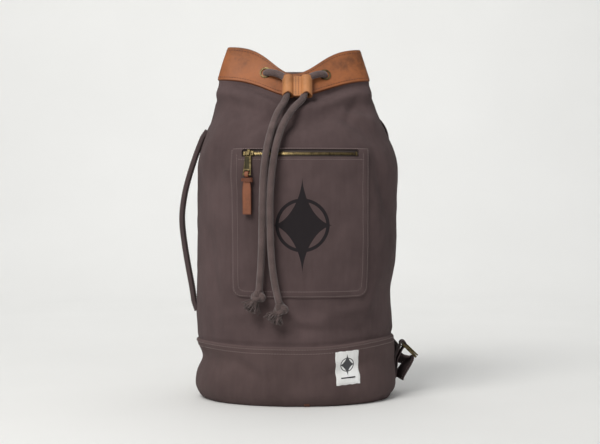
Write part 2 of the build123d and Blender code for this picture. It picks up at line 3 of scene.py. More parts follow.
import bmesh
import bpy
import numpy as np
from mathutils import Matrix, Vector


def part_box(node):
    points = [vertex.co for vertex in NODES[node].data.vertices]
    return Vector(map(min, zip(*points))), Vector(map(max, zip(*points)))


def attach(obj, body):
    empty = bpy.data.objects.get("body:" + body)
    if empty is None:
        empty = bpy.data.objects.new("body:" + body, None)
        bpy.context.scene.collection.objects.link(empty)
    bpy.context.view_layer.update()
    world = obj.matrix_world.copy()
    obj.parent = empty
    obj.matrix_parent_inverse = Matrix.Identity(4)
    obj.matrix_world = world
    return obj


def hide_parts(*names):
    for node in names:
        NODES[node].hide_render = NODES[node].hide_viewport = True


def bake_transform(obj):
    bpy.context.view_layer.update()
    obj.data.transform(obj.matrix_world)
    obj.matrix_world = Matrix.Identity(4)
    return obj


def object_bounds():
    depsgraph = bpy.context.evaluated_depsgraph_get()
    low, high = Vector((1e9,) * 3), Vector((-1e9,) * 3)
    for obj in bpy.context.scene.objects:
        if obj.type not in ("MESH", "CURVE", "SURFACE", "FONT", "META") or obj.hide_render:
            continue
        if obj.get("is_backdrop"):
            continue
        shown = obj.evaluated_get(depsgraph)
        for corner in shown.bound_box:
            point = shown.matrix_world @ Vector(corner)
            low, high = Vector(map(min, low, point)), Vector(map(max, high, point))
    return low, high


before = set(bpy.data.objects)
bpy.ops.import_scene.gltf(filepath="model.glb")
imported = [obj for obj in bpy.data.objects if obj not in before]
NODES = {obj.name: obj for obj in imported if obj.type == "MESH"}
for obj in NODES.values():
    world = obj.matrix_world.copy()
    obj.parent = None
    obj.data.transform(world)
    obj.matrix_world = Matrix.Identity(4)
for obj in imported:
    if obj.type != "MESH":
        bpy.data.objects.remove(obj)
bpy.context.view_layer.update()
rng = np.random.default_rng(7)

# ---- the bag's oval surface, in millimetres, as the CAD part defines it --------------------
MM = 0.001
HALF_WIDTH = 139.0
HALF_DEPTH = 112.0
CORNER_RISE = 21.0                     # the soft bottom edge is rounder than the CAD one
CORNER_INSET = 18.0
SHOULDER_Z = 316.0
SHOULDER_RUN = 112.0
SHOULDER_LOSS = 30.0
DEPTH_RUN = 164.0
TOP_HALF_DEPTH = 30.0
COLLAR_TAPER_Z = 415.0
COLLAR_TAPER = 20.0
TOP_Z = 487.0
TOP_LEAN = -5.0
BAND_TOP = 80.0                       # the seam rises towards the right side
COLLAR_BOTTOM = 441.0
TOP_DIP = (39.0, 40.0, 49.0)          # depth, spread to the left, spread to the right
BOTTOM_DIP = (25.0, 51.0, 63.0)
POCKET = (-87.0, 95.0, 146.0, 345.0)  # left, right, bottom, top
POCKET_CORNER = 13.0
ZIP_Z = 338.0
ZIP_SLOT = (-72.0, 81.0, 333.2, 342.8)
FOLD_SHARE = 0.3                      # share of the depth where the folded side turns in
FOLD_DEPTH = 26.0                     # how far the side gussets fold in at the mouth


def unit(vectors):
    return vectors / np.linalg.norm(vectors, axis=-1, keepdims=True)


def smoothstep(t):
    t = np.clip(t, 0.0, 1.0)
    return t * t * (3 - 2 * t)


def bump(t):
    return np.exp(-t * t)


def corner(z):
    rise = np.clip((CORNER_RISE - z) / CORNER_RISE, 0.0, 1.0)
    return CORNER_INSET * (1 - np.sqrt(1 - rise * rise))


def half_width(z):
    taper = COLLAR_TAPER * (np.maximum(0.0, z - COLLAR_TAPER_Z) / (TOP_Z - COLLAR_TAPER_Z)) ** 1.3
    return HALF_WIDTH - corner(z) - SHOULDER_LOSS * smoothstep((z - SHOULDER_Z) / SHOULDER_RUN) - taper


def half_depth(z):
    pinch = (HALF_DEPTH - TOP_HALF_DEPTH) * smoothstep((z - SHOULDER_Z) / DEPTH_RUN)
    return HALF_DEPTH - corner(z) - pinch


def centre_x(z):
    return TOP_LEAN * smoothstep((z - SHOULDER_Z) / SHOULDER_RUN)


def dip(x, shape):
    depth, left, right = shape
    spread = np.where(x < TOP_LEAN, left, right)
    return depth * bump((x - TOP_LEAN) / spread)


def top_edge(x):
    return TOP_Z - dip(x, TOP_DIP) - 3.0 * smoothstep((x - 35) / 60)


def band_top(x):
    return BAND_TOP + 1.0 + 7.0 * smoothstep((x - 15) / 125) + 2.0 * smoothstep((-x - 60) / 80)


def collar_edge(x):
    return COLLAR_BOTTOM - dip(x, BOTTOM_DIP)


WAVES = [(rng.uniform(0.012, 0.05), rng.uniform(-0.03, 0.03), rng.uniform(0, 2 * pi)) for _ in range(7)]
RIPPLES = [(rng.uniform(0.08, 0.3), rng.uniform(-0.2, 0.2), rng.uniform(0, 2 * pi)) for _ in range(10)]
WAVE_HEIGHT = 0.55
RIPPLE_HEIGHT = 0.10
MEAN_RADIUS = 125.0

# swellings (+) and dents (-) of the two sides: height out of the oval, level, half height
RIGHT_SWELLS = ((-9.0, 148, 36), (-5.0, 98, 30), (-2.5, 50, 14), (2.0, 318, 40))
LEFT_SWELLS = ((-11.0, 58, 17), (-1.5, 95, 18), (-2.6, 392, 22))
BAND_INSET_RIGHT = 2.8
# folds that hang across the front under the collar: height, distance below the collar, half height
HANGING_FOLDS = ((5.0, 18, 8), (-3.0, 36, 10), (2.0, 60, 14))
COLLAR_GROOVE = 4.2
BAND_GROOVE = 1.3

# x, z of each end, width and height of soft creases across the front
CREASE_SCALE = 2.1
CREASES = [
    (-70, 372, -112, 300, 9, -2.2), (-98, 380, -128, 322, 8, 2.4), (60, 395, 112, 352, 9, -2.4),
    (40, 404, 100, 384, 7, 2.2), (-20, 398, -62, 366, 7, -1.8), (104, 330, 122, 250, 10, -2.0),
    (20, 120, 100, 132, 8, 1.4), (-30, 106, 90, 101, 7, -1.5), (-112, 140, -120, 230, 9, -1.8),
    (-90, 60, -40, 34, 9, -1.6), (30, 40, 110, 62, 9, -1.4), (90, 118, 118, 190, 10, 1.8),
    (-96, 430, -70, 372, 7, -1.5), (-84, 418, -40, 396, 5, 1.3), (88, 424, 66, 380, 7, -1.6),
    (70, 414, 26, 398, 5, 1.4), (-104, 352, -84, 300, 8, 1.5), (118, 292, 98, 352, 8, -1.3),
    (-30, 130, 60, 96, 7, 1.2), (-60, 128, -104, 116, 8, 1.3), (112, 240, 104, 310, 9, 1.6),
    (5, 136, 60, 118, 8, -1.2),
]


def bumps(rows, at):
    return sum(height * bump((at - middle) / spread) for height, middle, spread in rows)


def crease(x, z, x0, z0, x1, z1, width, height):
    length2 = (x1 - x0) ** 2 + (z1 - z0) ** 2
    t = np.clip(((x - x0) * (x1 - x0) + (z - z0) * (z1 - z0)) / length2, 0, 1)
    d = np.hypot(x - x0 - t * (x1 - x0), z - z0 - t * (z1 - z0))
    return CREASE_SCALE * height * bump(d / width) * np.sin(pi * (0.12 + 0.76 * t))


def swell(x, y, z):
    """How far the soft canvas stands out of the smooth oval, in millimetres."""
    around = np.arctan2(y / HALF_DEPTH, x / HALF_WIDTH) * MEAN_RADIUS
    low = sum(np.sin(a * around + b * z + p) for a, b, p in WAVES)
    fine = sum(np.sin(a * around + b * z + p) for a, b, p in RIPPLES)
    right, left, front = bump((x - HALF_WIDTH) / 50), bump((x + HALF_WIDTH) / 45), smoothstep(-y / 40)
    out = WAVE_HEIGHT * low + RIPPLE_HEIGHT * fine
    out += right * (bumps(RIGHT_SWELLS, z) - BAND_INSET_RIGHT * smoothstep((100 - z) / 14))
    out += left * bumps(LEFT_SWELLS, z)
    below = collar_edge(x) - z
    near_middle = 0.35 + 0.65 * smoothstep((np.abs(x + 3) - 12) / 40)
    at_side = smoothstep((np.abs(x) - 78) / 26)
    out -= COLLAR_GROOVE * bump((below - 5) / 5) * near_middle * (1 - 0.75 * at_side)
    out += front * bumps(HANGING_FOLDS, below)
    out += front * 1.7 * np.sin(x / 9.5 + 0.6) * bump((below - 22) / 20) * bump(x / 70)
    out += front * sum(crease(x, z, *row) for row in CREASES)
    out -= BAND_GROOVE * bump((z - band_top(x) - 2.0) / 2.6) * (1 - 0.6 * smoothstep((np.abs(x) - 105) / 25))
    # flat behind the zip, under the collar and at the bottom edge
    calm = front * bump((z - ZIP_Z) / 17) * smoothstep((105 - np.abs(x - 4)) / 14)
    calm = np.maximum(calm, smoothstep((z - collar_edge(x) + 2) / 3))
    calm = np.maximum(calm, smoothstep((5 - z) / 5))
    return out * (1 - np.clip(calm, 0, 1))


def section(phi, z):
    """Point of the bag's section at angle phi, with the folded side gussets of the mouth."""
    a, b = half_width(z), half_depth(z)
    u, c = np.sin(phi), np.cos(phi)
    w = np.abs(u)
    t = np.clip((w - FOLD_SHARE) / (1 - FOLD_SHARE), 0, 1)
    folded = a * np.sqrt(1 - t * t)
    amount = smoothstep((z - 398) / 48)
    tuck = FOLD_DEPTH * amount * np.clip(1 - (w / FOLD_SHARE) ** 2, 0, 1)
    folded = (folded - tuck) * np.sign(c)
    k = amount * smoothstep((np.abs(c) - 0.5) / 0.3)
    return centre_x(z) + a * c + (folded - a * c) * k, b * u


def surface_grid(phi, z):
    """Points and outward normals on the swollen surface; phi and z are grids (rows of z, columns of phi)."""
    def raw(p, h):
        x, y = section(p, h)
        return np.stack([x, y, h], -1)
    step = 0.002
    at = raw(phi, z)
    across = raw(phi + step, z) - raw(phi - step, z)
    upward = raw(phi, z + 0.3) - raw(phi, z - 0.3)
    normal = unit(np.cross(across, upward))
    lift = swell(at[..., 0], at[..., 1], at[..., 2])[..., None]
    return at + normal * lift, normal


def wall_point(x, z, offset=0.0, side=-1):
    """Points and normals on the front (side -1) or back (+1) wall at x and z, raised by an offset."""
    x, z = np.broadcast_arrays(np.asarray(x, float), np.asarray(z, float))
    u = np.clip((x - centre_x(z)) / half_width(z), -0.9999, 0.9999)
    phi = side * np.arccos(u)
    points, normals = surface_grid(phi, z)
    return points + normals * np.asarray(offset)[..., None], normals


# ---- mesh building -------------------------------------------------------------------------
def face_outward(mesh):
    """Turns the faces of a closed mesh outward."""
    mesh.calc_loop_triangles()
    corners = np.zeros(len(mesh.loop_triangles) * 3, np.int32)
    mesh.loop_triangles.foreach_get("vertices", corners)
    at = np.zeros(len(mesh.vertices) * 3)
    mesh.vertices.foreach_get("co", at)
    a, b, c = at.reshape(-1, 3)[corners.reshape(-1, 3).T]
    if np.sum(a * np.cross(b, c)) < 0:
        mesh.flip_normals()


def mesh_object(name, verts, faces, material, uv=None, closed=True):
    mesh = bpy.data.meshes.new(name)
    mesh.from_pydata((np.asarray(verts, float) * MM).tolist(), [], faces)
    mesh.update()
    if uv is not None:
        layer = mesh.uv_layers.new(name="UVMap")
        loops = np.zeros(len(mesh.loops), np.int32)
        mesh.loops.foreach_get("vertex_index", loops)
        layer.data.foreach_set("uv", np.asarray(uv, np.float32)[loops].ravel())
    if closed:
        face_outward(mesh)
    mesh.polygons.foreach_set("use_smooth", [True] * len(mesh.polygons))
    obj = bpy.data.objects.new(name, mesh)
    bpy.context.scene.collection.objects.link(obj)
    mesh.materials.append(material)
    return obj


def edge_attribute(obj, values):
    """Float per vertex for the materials: 1 at a worn or folded edge, and on a rope 1 in the valleys, which
    get painted shade.
    """
    attribute = obj.data.attributes.new("edge", "FLOAT", "POINT")
    attribute.data.foreach_set("value", np.asarray(values, np.float32))


def grid_faces(rows, cols, wrap=False, start=0, flip=False, skip=None):
    faces = []
    for i in range(rows - 1):
        for j in range(cols if wrap else cols - 1):
            if skip is not None and skip[i, j]:
                continue
            k = (j + 1) % cols
            low, high = start + i * cols, start + (i + 1) * cols
            quad = (low + j, low + k, high + k, high + j)
            faces.append(quad[::-1] if flip else quad)
    return faces


def cap_faces(rows, cols):
    """The two end faces of a tube of rows rings, each of cols points."""
    return [tuple(range(cols))[::-1], tuple(range((rows - 1) * cols, rows * cols))]


def rim_faces(loop, count):
    """Faces that join a loop of the outer grid to the same loop of the inner one, count points later."""
    return [(v, v + count, w + count, w) for v, w in zip(loop, loop[1:] + loop[:1])]


def slab_solid(name, outer, inner, material, wrap=False, uv=None, skip=None, edge=None):
    """Closed thin solid between two grids of points."""
    rows, cols = outer.shape[:2]
    count = rows * cols
    verts = np.concatenate([outer.reshape(-1, 3), inner.reshape(-1, 3)])
    faces = grid_faces(rows, cols, wrap, 0, False, skip) + grid_faces(rows, cols, wrap, count, True, skip)
    index = np.arange(count).reshape(rows, cols)
    if wrap:
        faces += rim_faces(list(index[0]), count) + rim_faces(list(index[-1, ::-1]), count)
    else:
        ring = list(index[0]) + list(index[1:, -1]) + list(index[-1, -2::-1]) + list(index[-2:0:-1, 0])
        faces += rim_faces(ring, count)
    if skip is not None:
        i0, i1 = np.where(skip.any(1))[0][[0, -1]]
        j0, j1 = np.where(skip.any(0))[0][[0, -1]]
        hole = list(index[i0, j0:j1 + 2]) + list(index[i0 + 1:i1 + 2, j1 + 1])
        hole += list(index[i1 + 1, j1:j0:-1]) + list(index[i1 + 1:i0:-1, j0])
        faces += rim_faces(hole[::-1], count)
    both = None if uv is None else np.concatenate([uv.reshape(-1, 2)] * 2)
    obj = mesh_object(name, verts, faces, material, both)
    if edge is not None:
        edge_attribute(obj, np.concatenate([edge.ravel()] * 2))
    return obj


def finish_piece(obj, body="bag", replaces=()):
    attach(obj, body)
    if replaces:
        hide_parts(*replaces)
    return obj


def sharpen(obj, angle=40):
    """Marks the hard rims of a thin solid so that its broad faces shade smoothly."""
    bm = bmesh.new()
    bm.from_mesh(obj.data)
    for e in bm.edges:
        if len(e.link_faces) == 2 and e.calc_face_angle(0) > radians(angle):
            e.smooth = False
    bm.to_mesh(obj.data)
    bm.free()
    return obj


def tangents(points):
    return unit(np.gradient(np.asarray(points, float), axis=0))


def tube_mesh(points, radii, sides):
    """Vertices and faces of a tube along points; radii is one per point, or a function of (row, angle)."""
    points = np.asarray(points, float)
    tangent = tangents(points)
    normals = []
    normal = np.cross(tangent[0], [0.31, 0.17, 0.93])
    for t in tangent:
        normal = unit(normal - t * np.dot(normal, t))
        normals.append(normal)
    normals = np.array(normals)
    binormals = np.cross(tangent, normals)
    angles = np.linspace(0, 2 * pi, sides, endpoint=False)
    if callable(radii):
        r = radii(np.arange(len(points))[:, None], angles[None, :])
    else:
        r = np.broadcast_to(np.asarray(radii, float).reshape(-1, 1), (len(points), sides))
    ring = points[:, None] + r[..., None] * (
        np.cos(angles)[None, :, None] * normals[:, None] + np.sin(angles)[None, :, None] * binormals[:, None])
    return ring.reshape(-1, 3), grid_faces(len(points), sides, wrap=True) + cap_faces(len(points), sides)


def join_meshes(parts):
    verts, faces, base = [], [], 0
    for v, f in parts:
        verts.append(v)
        faces += [tuple(i + base for i in face) for face in f]
        base += len(v)
    return np.concatenate(verts), faces


# ---- stitches ------------------------------------------------------------------------------
STITCH_LENGTH = 2.1
STITCH_PITCH = 3.7
STITCH_WIDTH = 1.0


def run_length(points):
    """Distance along a line of points, at each point."""
    return np.concatenate([[0], np.cumsum(np.linalg.norm(np.diff(points, axis=0), axis=1))])


def sample(rows, along, marks):
    return np.stack([np.interp(marks, along, column) for column in rows.T], -1)


def resample(points, pitch):
    points = np.asarray(points, float)
    along = run_length(points)
    count = max(2, int(along[-1] / pitch))
    marks = np.linspace(0, along[-1], count + 1)
    return sample(points, along, marks)


def stitch_parts(points, normals, width=STITCH_WIDTH, pitch=STITCH_PITCH, length=STITCH_LENGTH):
    """Small thread loops along a seam that follows points on a surface."""
    points = np.asarray(points)
    along = run_length(points)
    marks = np.arange(pitch / 2, along[-1], pitch)
    at = sample(points, along, marks)
    up = unit(sample(np.asarray(normals), along, marks))
    forward = sample(points, along, marks + 0.2) - at
    forward /= np.maximum(np.linalg.norm(forward, axis=1, keepdims=True), 1e-9)
    forward -= up * np.sum(forward * up, 1, keepdims=True)
    sideways = np.cross(up, forward)
    # place along the stitch, thickness there, and height over the cloth
    profile = np.array([(-0.5, 0.15, 0), (-0.34, 0.8, 0.7), (0, 1, 1), (0.34, 0.8, 0.7), (0.5, 0.15, 0)])
    sides = 6
    angle = np.tile(np.linspace(0, 2 * pi, sides, endpoint=False), len(profile))
    place, thick, high = np.repeat(profile, sides, axis=0).T
    ahead = place * length
    aside = np.cos(angle) * thick * width / 2
    above = np.sin(angle) * thick * width * 0.42 + high * 0.22 - 0.1
    faces = grid_faces(len(profile), sides, wrap=True) + cap_faces(len(profile), sides)
    return [(p + np.outer(ahead, t) + np.outer(aside, s) + np.outer(above, n), faces)
            for p, t, s, n in zip(at, forward, sideways, up)]


def sew(name, rows, thread):
    """One object of all the stitches in rows."""
    return mesh_object(name, *join_meshes(rows), thread)


# ---- materials -----------------------------------------------------------------------------
class Shader:
    """Short-hand for a Principled material built from nodes."""

    def __init__(self, material, **fixed):
        self.material = material
        material.use_nodes = True
        self.nodes = material.node_tree.nodes
        self.links = material.node_tree.links
        self.bsdf = self.nodes["Principled BSDF"]
        for key, value in fixed.items():
            self.bsdf.inputs[key.replace("_", " ")].default_value = value

    @classmethod
    def new(cls, name, color, roughness, **fixed):
        return cls(bpy.data.materials.new(name), Base_Color=(*color, 1), Roughness=roughness, **fixed)

    def color(self, socket):
        self.links.new(socket, self.bsdf.inputs["Base Color"])

    def painted(self, mask, paint):
        """Covers the colour that the material has with paint, where the mask is."""
        self.color(self.mix(mask, self.bsdf.inputs["Base Color"].links[0].from_socket, paint))

    def add(self, kind, settings=(), **inputs):
        node = self.nodes.new(kind)
        for key, value in dict(settings).items():
            setattr(node, key, value)
        for key, value in inputs.items():
            self.put(node, key.replace("_", " "), value)
        return node

    def put(self, node, key, value):
        if hasattr(value, "is_output"):
            self.links.new(value, node.inputs[key])
        else:
            node.inputs[key].default_value = value

    def math(self, operation, a, b=0.0, clamp=False):
        node = self.add("ShaderNodeMath", {"operation": operation, "use_clamp": clamp})
        self.put(node, 0, a)
        self.put(node, 1, b)
        return node.outputs[0]

    def scaled(self, value, factor, offset):
        node = self.math("MULTIPLY_ADD", value, factor).node
        node.inputs[2].default_value = offset
        return node.outputs[0]

    def noise(self, vector, scale, detail=3.0, rough=0.55):
        node = self.add("ShaderNodeTexNoise", Vector=vector, Scale=scale, Detail=detail, Roughness=rough)
        return node.outputs["Fac"]

    def ramp(self, factor, stops):
        node = self.add("ShaderNodeValToRGB", Fac=factor)
        elements = node.color_ramp.elements
        while len(elements) < len(stops):
            elements.new(0.5)
        for element, (position, color) in zip(elements, stops):
            element.position = position
            element.color = (*color, 1)
        return node.outputs["Color"]

    def mix(self, factor, a, b):
        """Colour a, turning to b as the factor goes from 0 to 1; each is a socket or three numbers."""
        node = self.add("ShaderNodeMix", {"data_type": "RGBA"})
        self.put(node, 0, factor)
        keys = [k for k, socket in enumerate(node.inputs) if socket.type == "RGBA"]
        for key, value in zip(keys, (a, b)):
            self.put(node, key, (*value, 1) if isinstance(value, tuple) else value)
        return next(socket for socket in node.outputs if socket.type == "RGBA")

    def bump(self, height, strength, distance):
        node = self.add("ShaderNodeBump", Height=height, Strength=strength, Distance=distance)
        self.links.new(node.outputs["Normal"], self.bsdf.inputs["Normal"])

    def position(self):
        return self.add("ShaderNodeTexCoord").outputs["Object"]

    def uv(self):
        split = self.add("ShaderNodeSeparateXYZ", Vector=self.add("ShaderNodeTexCoord").outputs["UV"])
        return split.outputs["X"], split.outputs["Y"]

    def from_middle(self, value, middle):
        return self.math("ABSOLUTE", self.math("SUBTRACT", value, middle))

    def edge(self):
        return self.add("ShaderNodeAttribute", {"attribute_name": "edge"}).outputs["Fac"]


def weave_height(s, thread, twill=False):
    """Height of a woven cloth from its UVs, which are in metres; thread is one yarn's width."""
    across, along = (s.math("MULTIPLY", way, pi / thread) for way in s.uv())
    if twill:
        along = s.math("ADD", along, s.math("MULTIPLY", across, 0.5))
    return s.math("MULTIPLY", s.math("SINE", across), s.math("SINE", along))


def tint(color, factor, extra=0.0):
    return tuple(min(1, c * factor + extra) for c in color)


def canvas_material(name, base, thread=0.00055, dark=0.72, twill=False):
    s = Shader.new(name, base, 0.92, Sheen_Weight=0.02, Sheen_Roughness=0.5, Specular_IOR_Level=0.12)
    place = s.position()
    cloudy = s.noise(place, 14.0, 4.0)
    streaks = s.add("ShaderNodeMapping", Vector=place, Scale=(160.0, 160.0, 22.0)).outputs[0]
    slub = s.noise(streaks, 1.0, 2.0)
    weave = weave_height(s, thread, twill)
    tone = s.math("ADD", s.math("MULTIPLY", cloudy, 0.8), s.math("MULTIPLY", slub, 0.2))
    light = tint(base, 1.28)
    color = s.ramp(tone, [(0.3, tint(base, dark)), (0.5, base), (0.7, light)])
    color = s.mix(s.math("MULTIPLY", s.math("ADD", weave, 1.0), 0.16), color, light)
    s.color(s.mix(s.math("MULTIPLY", s.edge(), 0.45, True), color, tint(base, 1.6, 0.01)))
    height = s.math("ADD", s.math("MULTIPLY", weave, 0.6), s.math("MULTIPLY", slub, 0.7))
    s.bump(height, 0.5, 0.0004)
    return s.material


def leather_material(name, base, mottle=0.5):
    s = Shader.new(name, base, 0.6, Specular_IOR_Level=0.4, Coat_Weight=0.05, Coat_Roughness=0.45)
    place = s.position()
    big = s.noise(place, 26.0, 5.0, 0.6)
    small = s.noise(place, 190.0, 4.0, 0.7)
    cells = s.add("ShaderNodeTexVoronoi", {"feature": "DISTANCE_TO_EDGE"}, Vector=place, Scale=900.0)
    pores = s.math("MINIMUM", s.math("MULTIPLY", cells.outputs[0], 6.0), 1.0)
    dark, light = tint(base, 1 - 0.55 * mottle), tint(base, 1 + 0.35 * mottle)
    tone = s.math("ADD", s.math("MULTIPLY", big, 0.7), s.math("MULTIPLY", small, 0.3))
    color = s.ramp(tone, [(0.34, dark), (0.5, base), (0.68, light)])
    burnt = (base[0] * 0.42, base[1] * 0.32, base[2] * 0.26)
    s.color(s.mix(s.math("MULTIPLY", s.edge(), 0.75, True), color, burnt))
    s.links.new(s.scaled(small, 0.3, 0.42), s.bsdf.inputs["Roughness"])
    s.bump(s.math("ADD", pores, s.math("MULTIPLY", small, 0.8)), 0.35, 0.0003)
    return s.material


def rope_material(name, base):
    s = Shader.new(name, base, 0.95, Sheen_Weight=0.3, Sheen_Roughness=0.5, Specular_IOR_Level=0.15)
    place = s.position()
    fibre = s.noise(place, 900.0, 3.0, 0.7)
    patch = s.noise(place, 60.0, 3.0)
    tone = s.math("ADD", s.math("MULTIPLY", fibre, 0.5), s.math("MULTIPLY", patch, 0.5))
    color = s.ramp(tone, [(0.3, tint(base, 0.6)), (0.52, base), (0.7, tint(base, 1.4))])
    # painted shade: the rope is darkened in the valleys between its strands, and on a fray's yarns by their
    # marks
    valley_shade = s.math("MULTIPLY", s.edge(), 0.8, True)
    s.color(s.mix(valley_shade, color, tint(base, 0.35)))
    s.bump(fibre, 0.5, 0.0004)
    return s.material


def brass_material(name, base=(0.135, 0.103, 0.050), rough=0.48):
    s = Shader.new(name, base, rough, Metallic=1.0)
    tarnish = s.noise(s.position(), 240.0, 4.0, 0.65)
    s.color(s.ramp(tarnish, [(0.33, tint(base, 0.35)), (0.52, base), (0.7, tint(base, 1.5))]))
    s.links.new(s.scaled(tarnish, -0.35, rough + 0.2), s.bsdf.inputs["Roughness"])
    s.bump(tarnish, 0.12, 0.0002)
    return s.material


def thread_material(name, base):
    s = Shader.new(name, base, 0.85, Sheen_Weight=0.2, Specular_IOR_Level=0.2)
    fibre = s.noise(s.position(), 1500.0, 2.0)
    s.color(s.ramp(fibre, [(0.35, tint(base, 0.7)), (0.65, tint(base, 1.25))]))
    return s.material


def floor_material():
    s = Shader.new("floor_paper", (0.80, 0.80, 0.785), 0.85)
    tone = s.noise(s.position(), 3.0, 2.0)
    s.color(s.ramp(tone, [(0.3, (0.79, 0.79, 0.775)), (0.7, (0.81, 0.81, 0.795))]))
    return s.material


CANVAS = canvas_material("canvas", (0.086, 0.059, 0.0585))
CANVAS_BAND = canvas_material("canvas_band", (0.088, 0.060, 0.058))
STRAP = canvas_material("strap_canvas", (0.062, 0.044, 0.044), thread=0.0009, twill=True)
LINING = canvas_material("lining_cloth", (0.17, 0.14, 0.12))
TAPE = canvas_material("zip_tape_cloth", (0.06, 0.047, 0.044), thread=0.0006)
LEATHER = leather_material("leather_collar", (0.268, 0.086, 0.025), 0.9)
LOCK_LEATHER = leather_material("leather_lock", (0.45, 0.19, 0.069), 0.6)
TAB_LEATHER = leather_material("leather_tab", (0.22, 0.074, 0.032), 0.6)
# painted shade: a darker leather for the base tab, for the shade it sits in under the bag's bottom
TAB_LEATHER_PAINTED_SHADE = leather_material("leather_tab_painted_shade", (0.11, 0.035, 0.018), 0.5)
ROPE = rope_material("cotton_rope", (0.108, 0.076, 0.072))
BRASS = brass_material("antique_brass")
ZIP_BRASS = brass_material("zip_brass", (0.20, 0.148, 0.068), 0.42)
THREAD = thread_material("canvas_thread", (0.205, 0.155, 0.148))
THREAD_DARK = thread_material("leather_thread", (0.10, 0.035, 0.02))
INK = canvas_material("ink_print", (0.018, 0.016, 0.017), dark=0.8)


def printed(material, centre, size, ring, ink, strength=0.93):
    """Prints a plain four-pointed star over a ring on a cloth, placed by its UVs, which are in metres."""
    s = Shader(material)
    x, y = (s.from_middle(value, middle) for value, middle in zip(s.uv(), centre))
    radius, half_band = ring
    star = s.math("ADD", s.math("POWER", s.math("DIVIDE", x, size[0]), 0.62),
                  s.math("POWER", s.math("DIVIDE", y, size[1]), 0.62))
    far = s.math("SQRT", s.math("ADD", s.math("MULTIPLY", x, x), s.math("MULTIPLY", y, y)))
    band = s.math("LESS_THAN", s.from_middle(far, radius), half_band)
    s.painted(s.math("MULTIPLY", s.math("MAXIMUM", s.math("LESS_THAN", star, 1.0), band), strength), ink)
    return material


POCKET_CLOTH = printed(canvas_material("canvas_pocket", (0.086, 0.059, 0.0585)),
                       (0.007, 0.243), (0.040, 0.064), (0.0335, 0.0022), (0.016, 0.014, 0.016))
LABEL_CLOTH = printed(canvas_material("label_cloth", (0.80, 0.80, 0.78), thread=0.0004, dark=0.94),
                      (0.0, 0.004), (0.0105, 0.0155), (0.0088, 0.0006), (0.03, 0.03, 0.035))
BOARD = canvas_material("board", (0.12, 0.11, 0.10), thread=0.0015)

# ---- body, band and base -------------------------------------------------------------------
SIDES = (("front", -1), ("back", 1))


def heights_of(limit, phi):
    """Level at each angle of a limit, which is a number or a function of x."""
    if not callable(limit):
        return np.full(len(phi), float(limit))
    z = np.full(len(phi), float(limit(0.0)))
    for _ in range(6):
        z = limit(section(phi, z)[0])
    return z


def half_sheet(name, side, low, high, outer, inner, material, count=420, rows=150, edge=None):
    """Thin cloth over the front or back half, between two levels; outer and inner are offsets."""
    phi = side * np.linspace(0, pi, count)
    heights = heights_of(low, phi), heights_of(high, phi)
    t = np.linspace(0, 1, rows)[:, None]
    z = heights[0] * (1 - t) + heights[1] * t
    points, normals = surface_grid(np.broadcast_to(phi, z.shape), z)
    along = run_length(points[rows // 2])
    uv = np.stack([np.broadcast_to((along - along[-1] / 2) * MM, z.shape), z * MM], -1)
    raised = outer(points, t) if callable(outer) else outer
    outside = points + normals * np.broadcast_to(raised, z.shape)[..., None]
    inside = points + normals * inner
    outside[..., 2] = np.maximum(outside[..., 2], 0.2)
    inside[..., 2] = np.maximum(inside[..., 2], 1.2)
    worn = None if edge is None else edge(points, t, heights)
    return sharpen(slab_solid(name, outside, inside, material, uv=uv, edge=worn))


def body_top(x):
    return np.minimum(462.0, top_edge(x) - 8.0)


SEAM_HALF_WIDTH = 1.8
BAND_HEIGHT = 78.0
COLLAR_HEIGHT = 46.0


def seam_groove(points, t):
    """The side seams pull the cloth in where y is 0."""
    return -0.9 * bump(points[..., 1] / SEAM_HALF_WIDTH)


for name, side in SIDES:
    body = half_sheet(f"canvas_body_{name}", side, 8.0, body_top, seam_groove, -2.0, CANVAS, 460, 260)
    finish_piece(body, "bag", [f"body_{name}_panel"])


def band_lift(points, t):
    """The band lies over the body, and its top edge is rolled under."""
    roll = smoothstep((1 - t) * BAND_HEIGHT / 2.2)
    return 0.7 + 1.9 * np.sqrt(roll) - 0.8 * bump(points[..., 1] / SEAM_HALF_WIDTH)


def band_edge(points, t, heights):
    return np.broadcast_to(bump((1 - t) * BAND_HEIGHT / 1.6) * 0.9, points.shape[:2])


def collar_lift(points, t):
    rim = np.minimum(t, 1 - t) * COLLAR_HEIGHT / 0.9
    dimple = 0.25 * np.sin(points[..., 0] / 13) * np.sin(points[..., 2] / 11)
    return 0.9 + 1.2 * np.sqrt(np.clip(rim, 0, 1)) + dimple


def leather_edges(points, t, heights):
    reach = heights[1] - heights[0]
    return np.maximum(bump((1 - t) * reach / 1.1), bump(t * reach / 1.1))


for name, side in SIDES:
    band = half_sheet(f"canvas_band_{name}", side, 0.0, band_top, band_lift, 0.15, CANVAS_BAND, 420, 90,
                      band_edge)
    finish_piece(band, "bag", [f"band_{name}_panel"])
for name, side in SIDES:
    collar = half_sheet(f"leather_collar_{name}", side, collar_edge, top_edge, collar_lift, 0.1, LEATHER,
                        420, 60, leather_edges)
    finish_piece(collar, "bag", [f"collar_{name}"])
    facing = half_sheet(f"leather_facing_{name}", side, lambda x: collar_edge(x) + 3,
                        lambda x: top_edge(x) - 1.0, -2.1, -3.6, LEATHER, 240, 16)
    finish_piece(facing, "bag", [f"collar_facing_{name}"])

# ---- lining and base -----------------------------------------------------------------------
phi = np.linspace(-pi, pi, 180, endpoint=False)
grid = np.meshgrid(phi, np.linspace(4.5, 400.0, 60))
inside, inward = surface_grid(*grid)
lining = slab_solid("lining_bag", inside - inward * 2.3, inside - inward * 3.0, LINING, wrap=True,
                    uv=np.stack([grid[0] * MEAN_RADIUS * MM, grid[1] * MM], -1))
finish_piece(sharpen(lining), "bag", ["body_lining"])

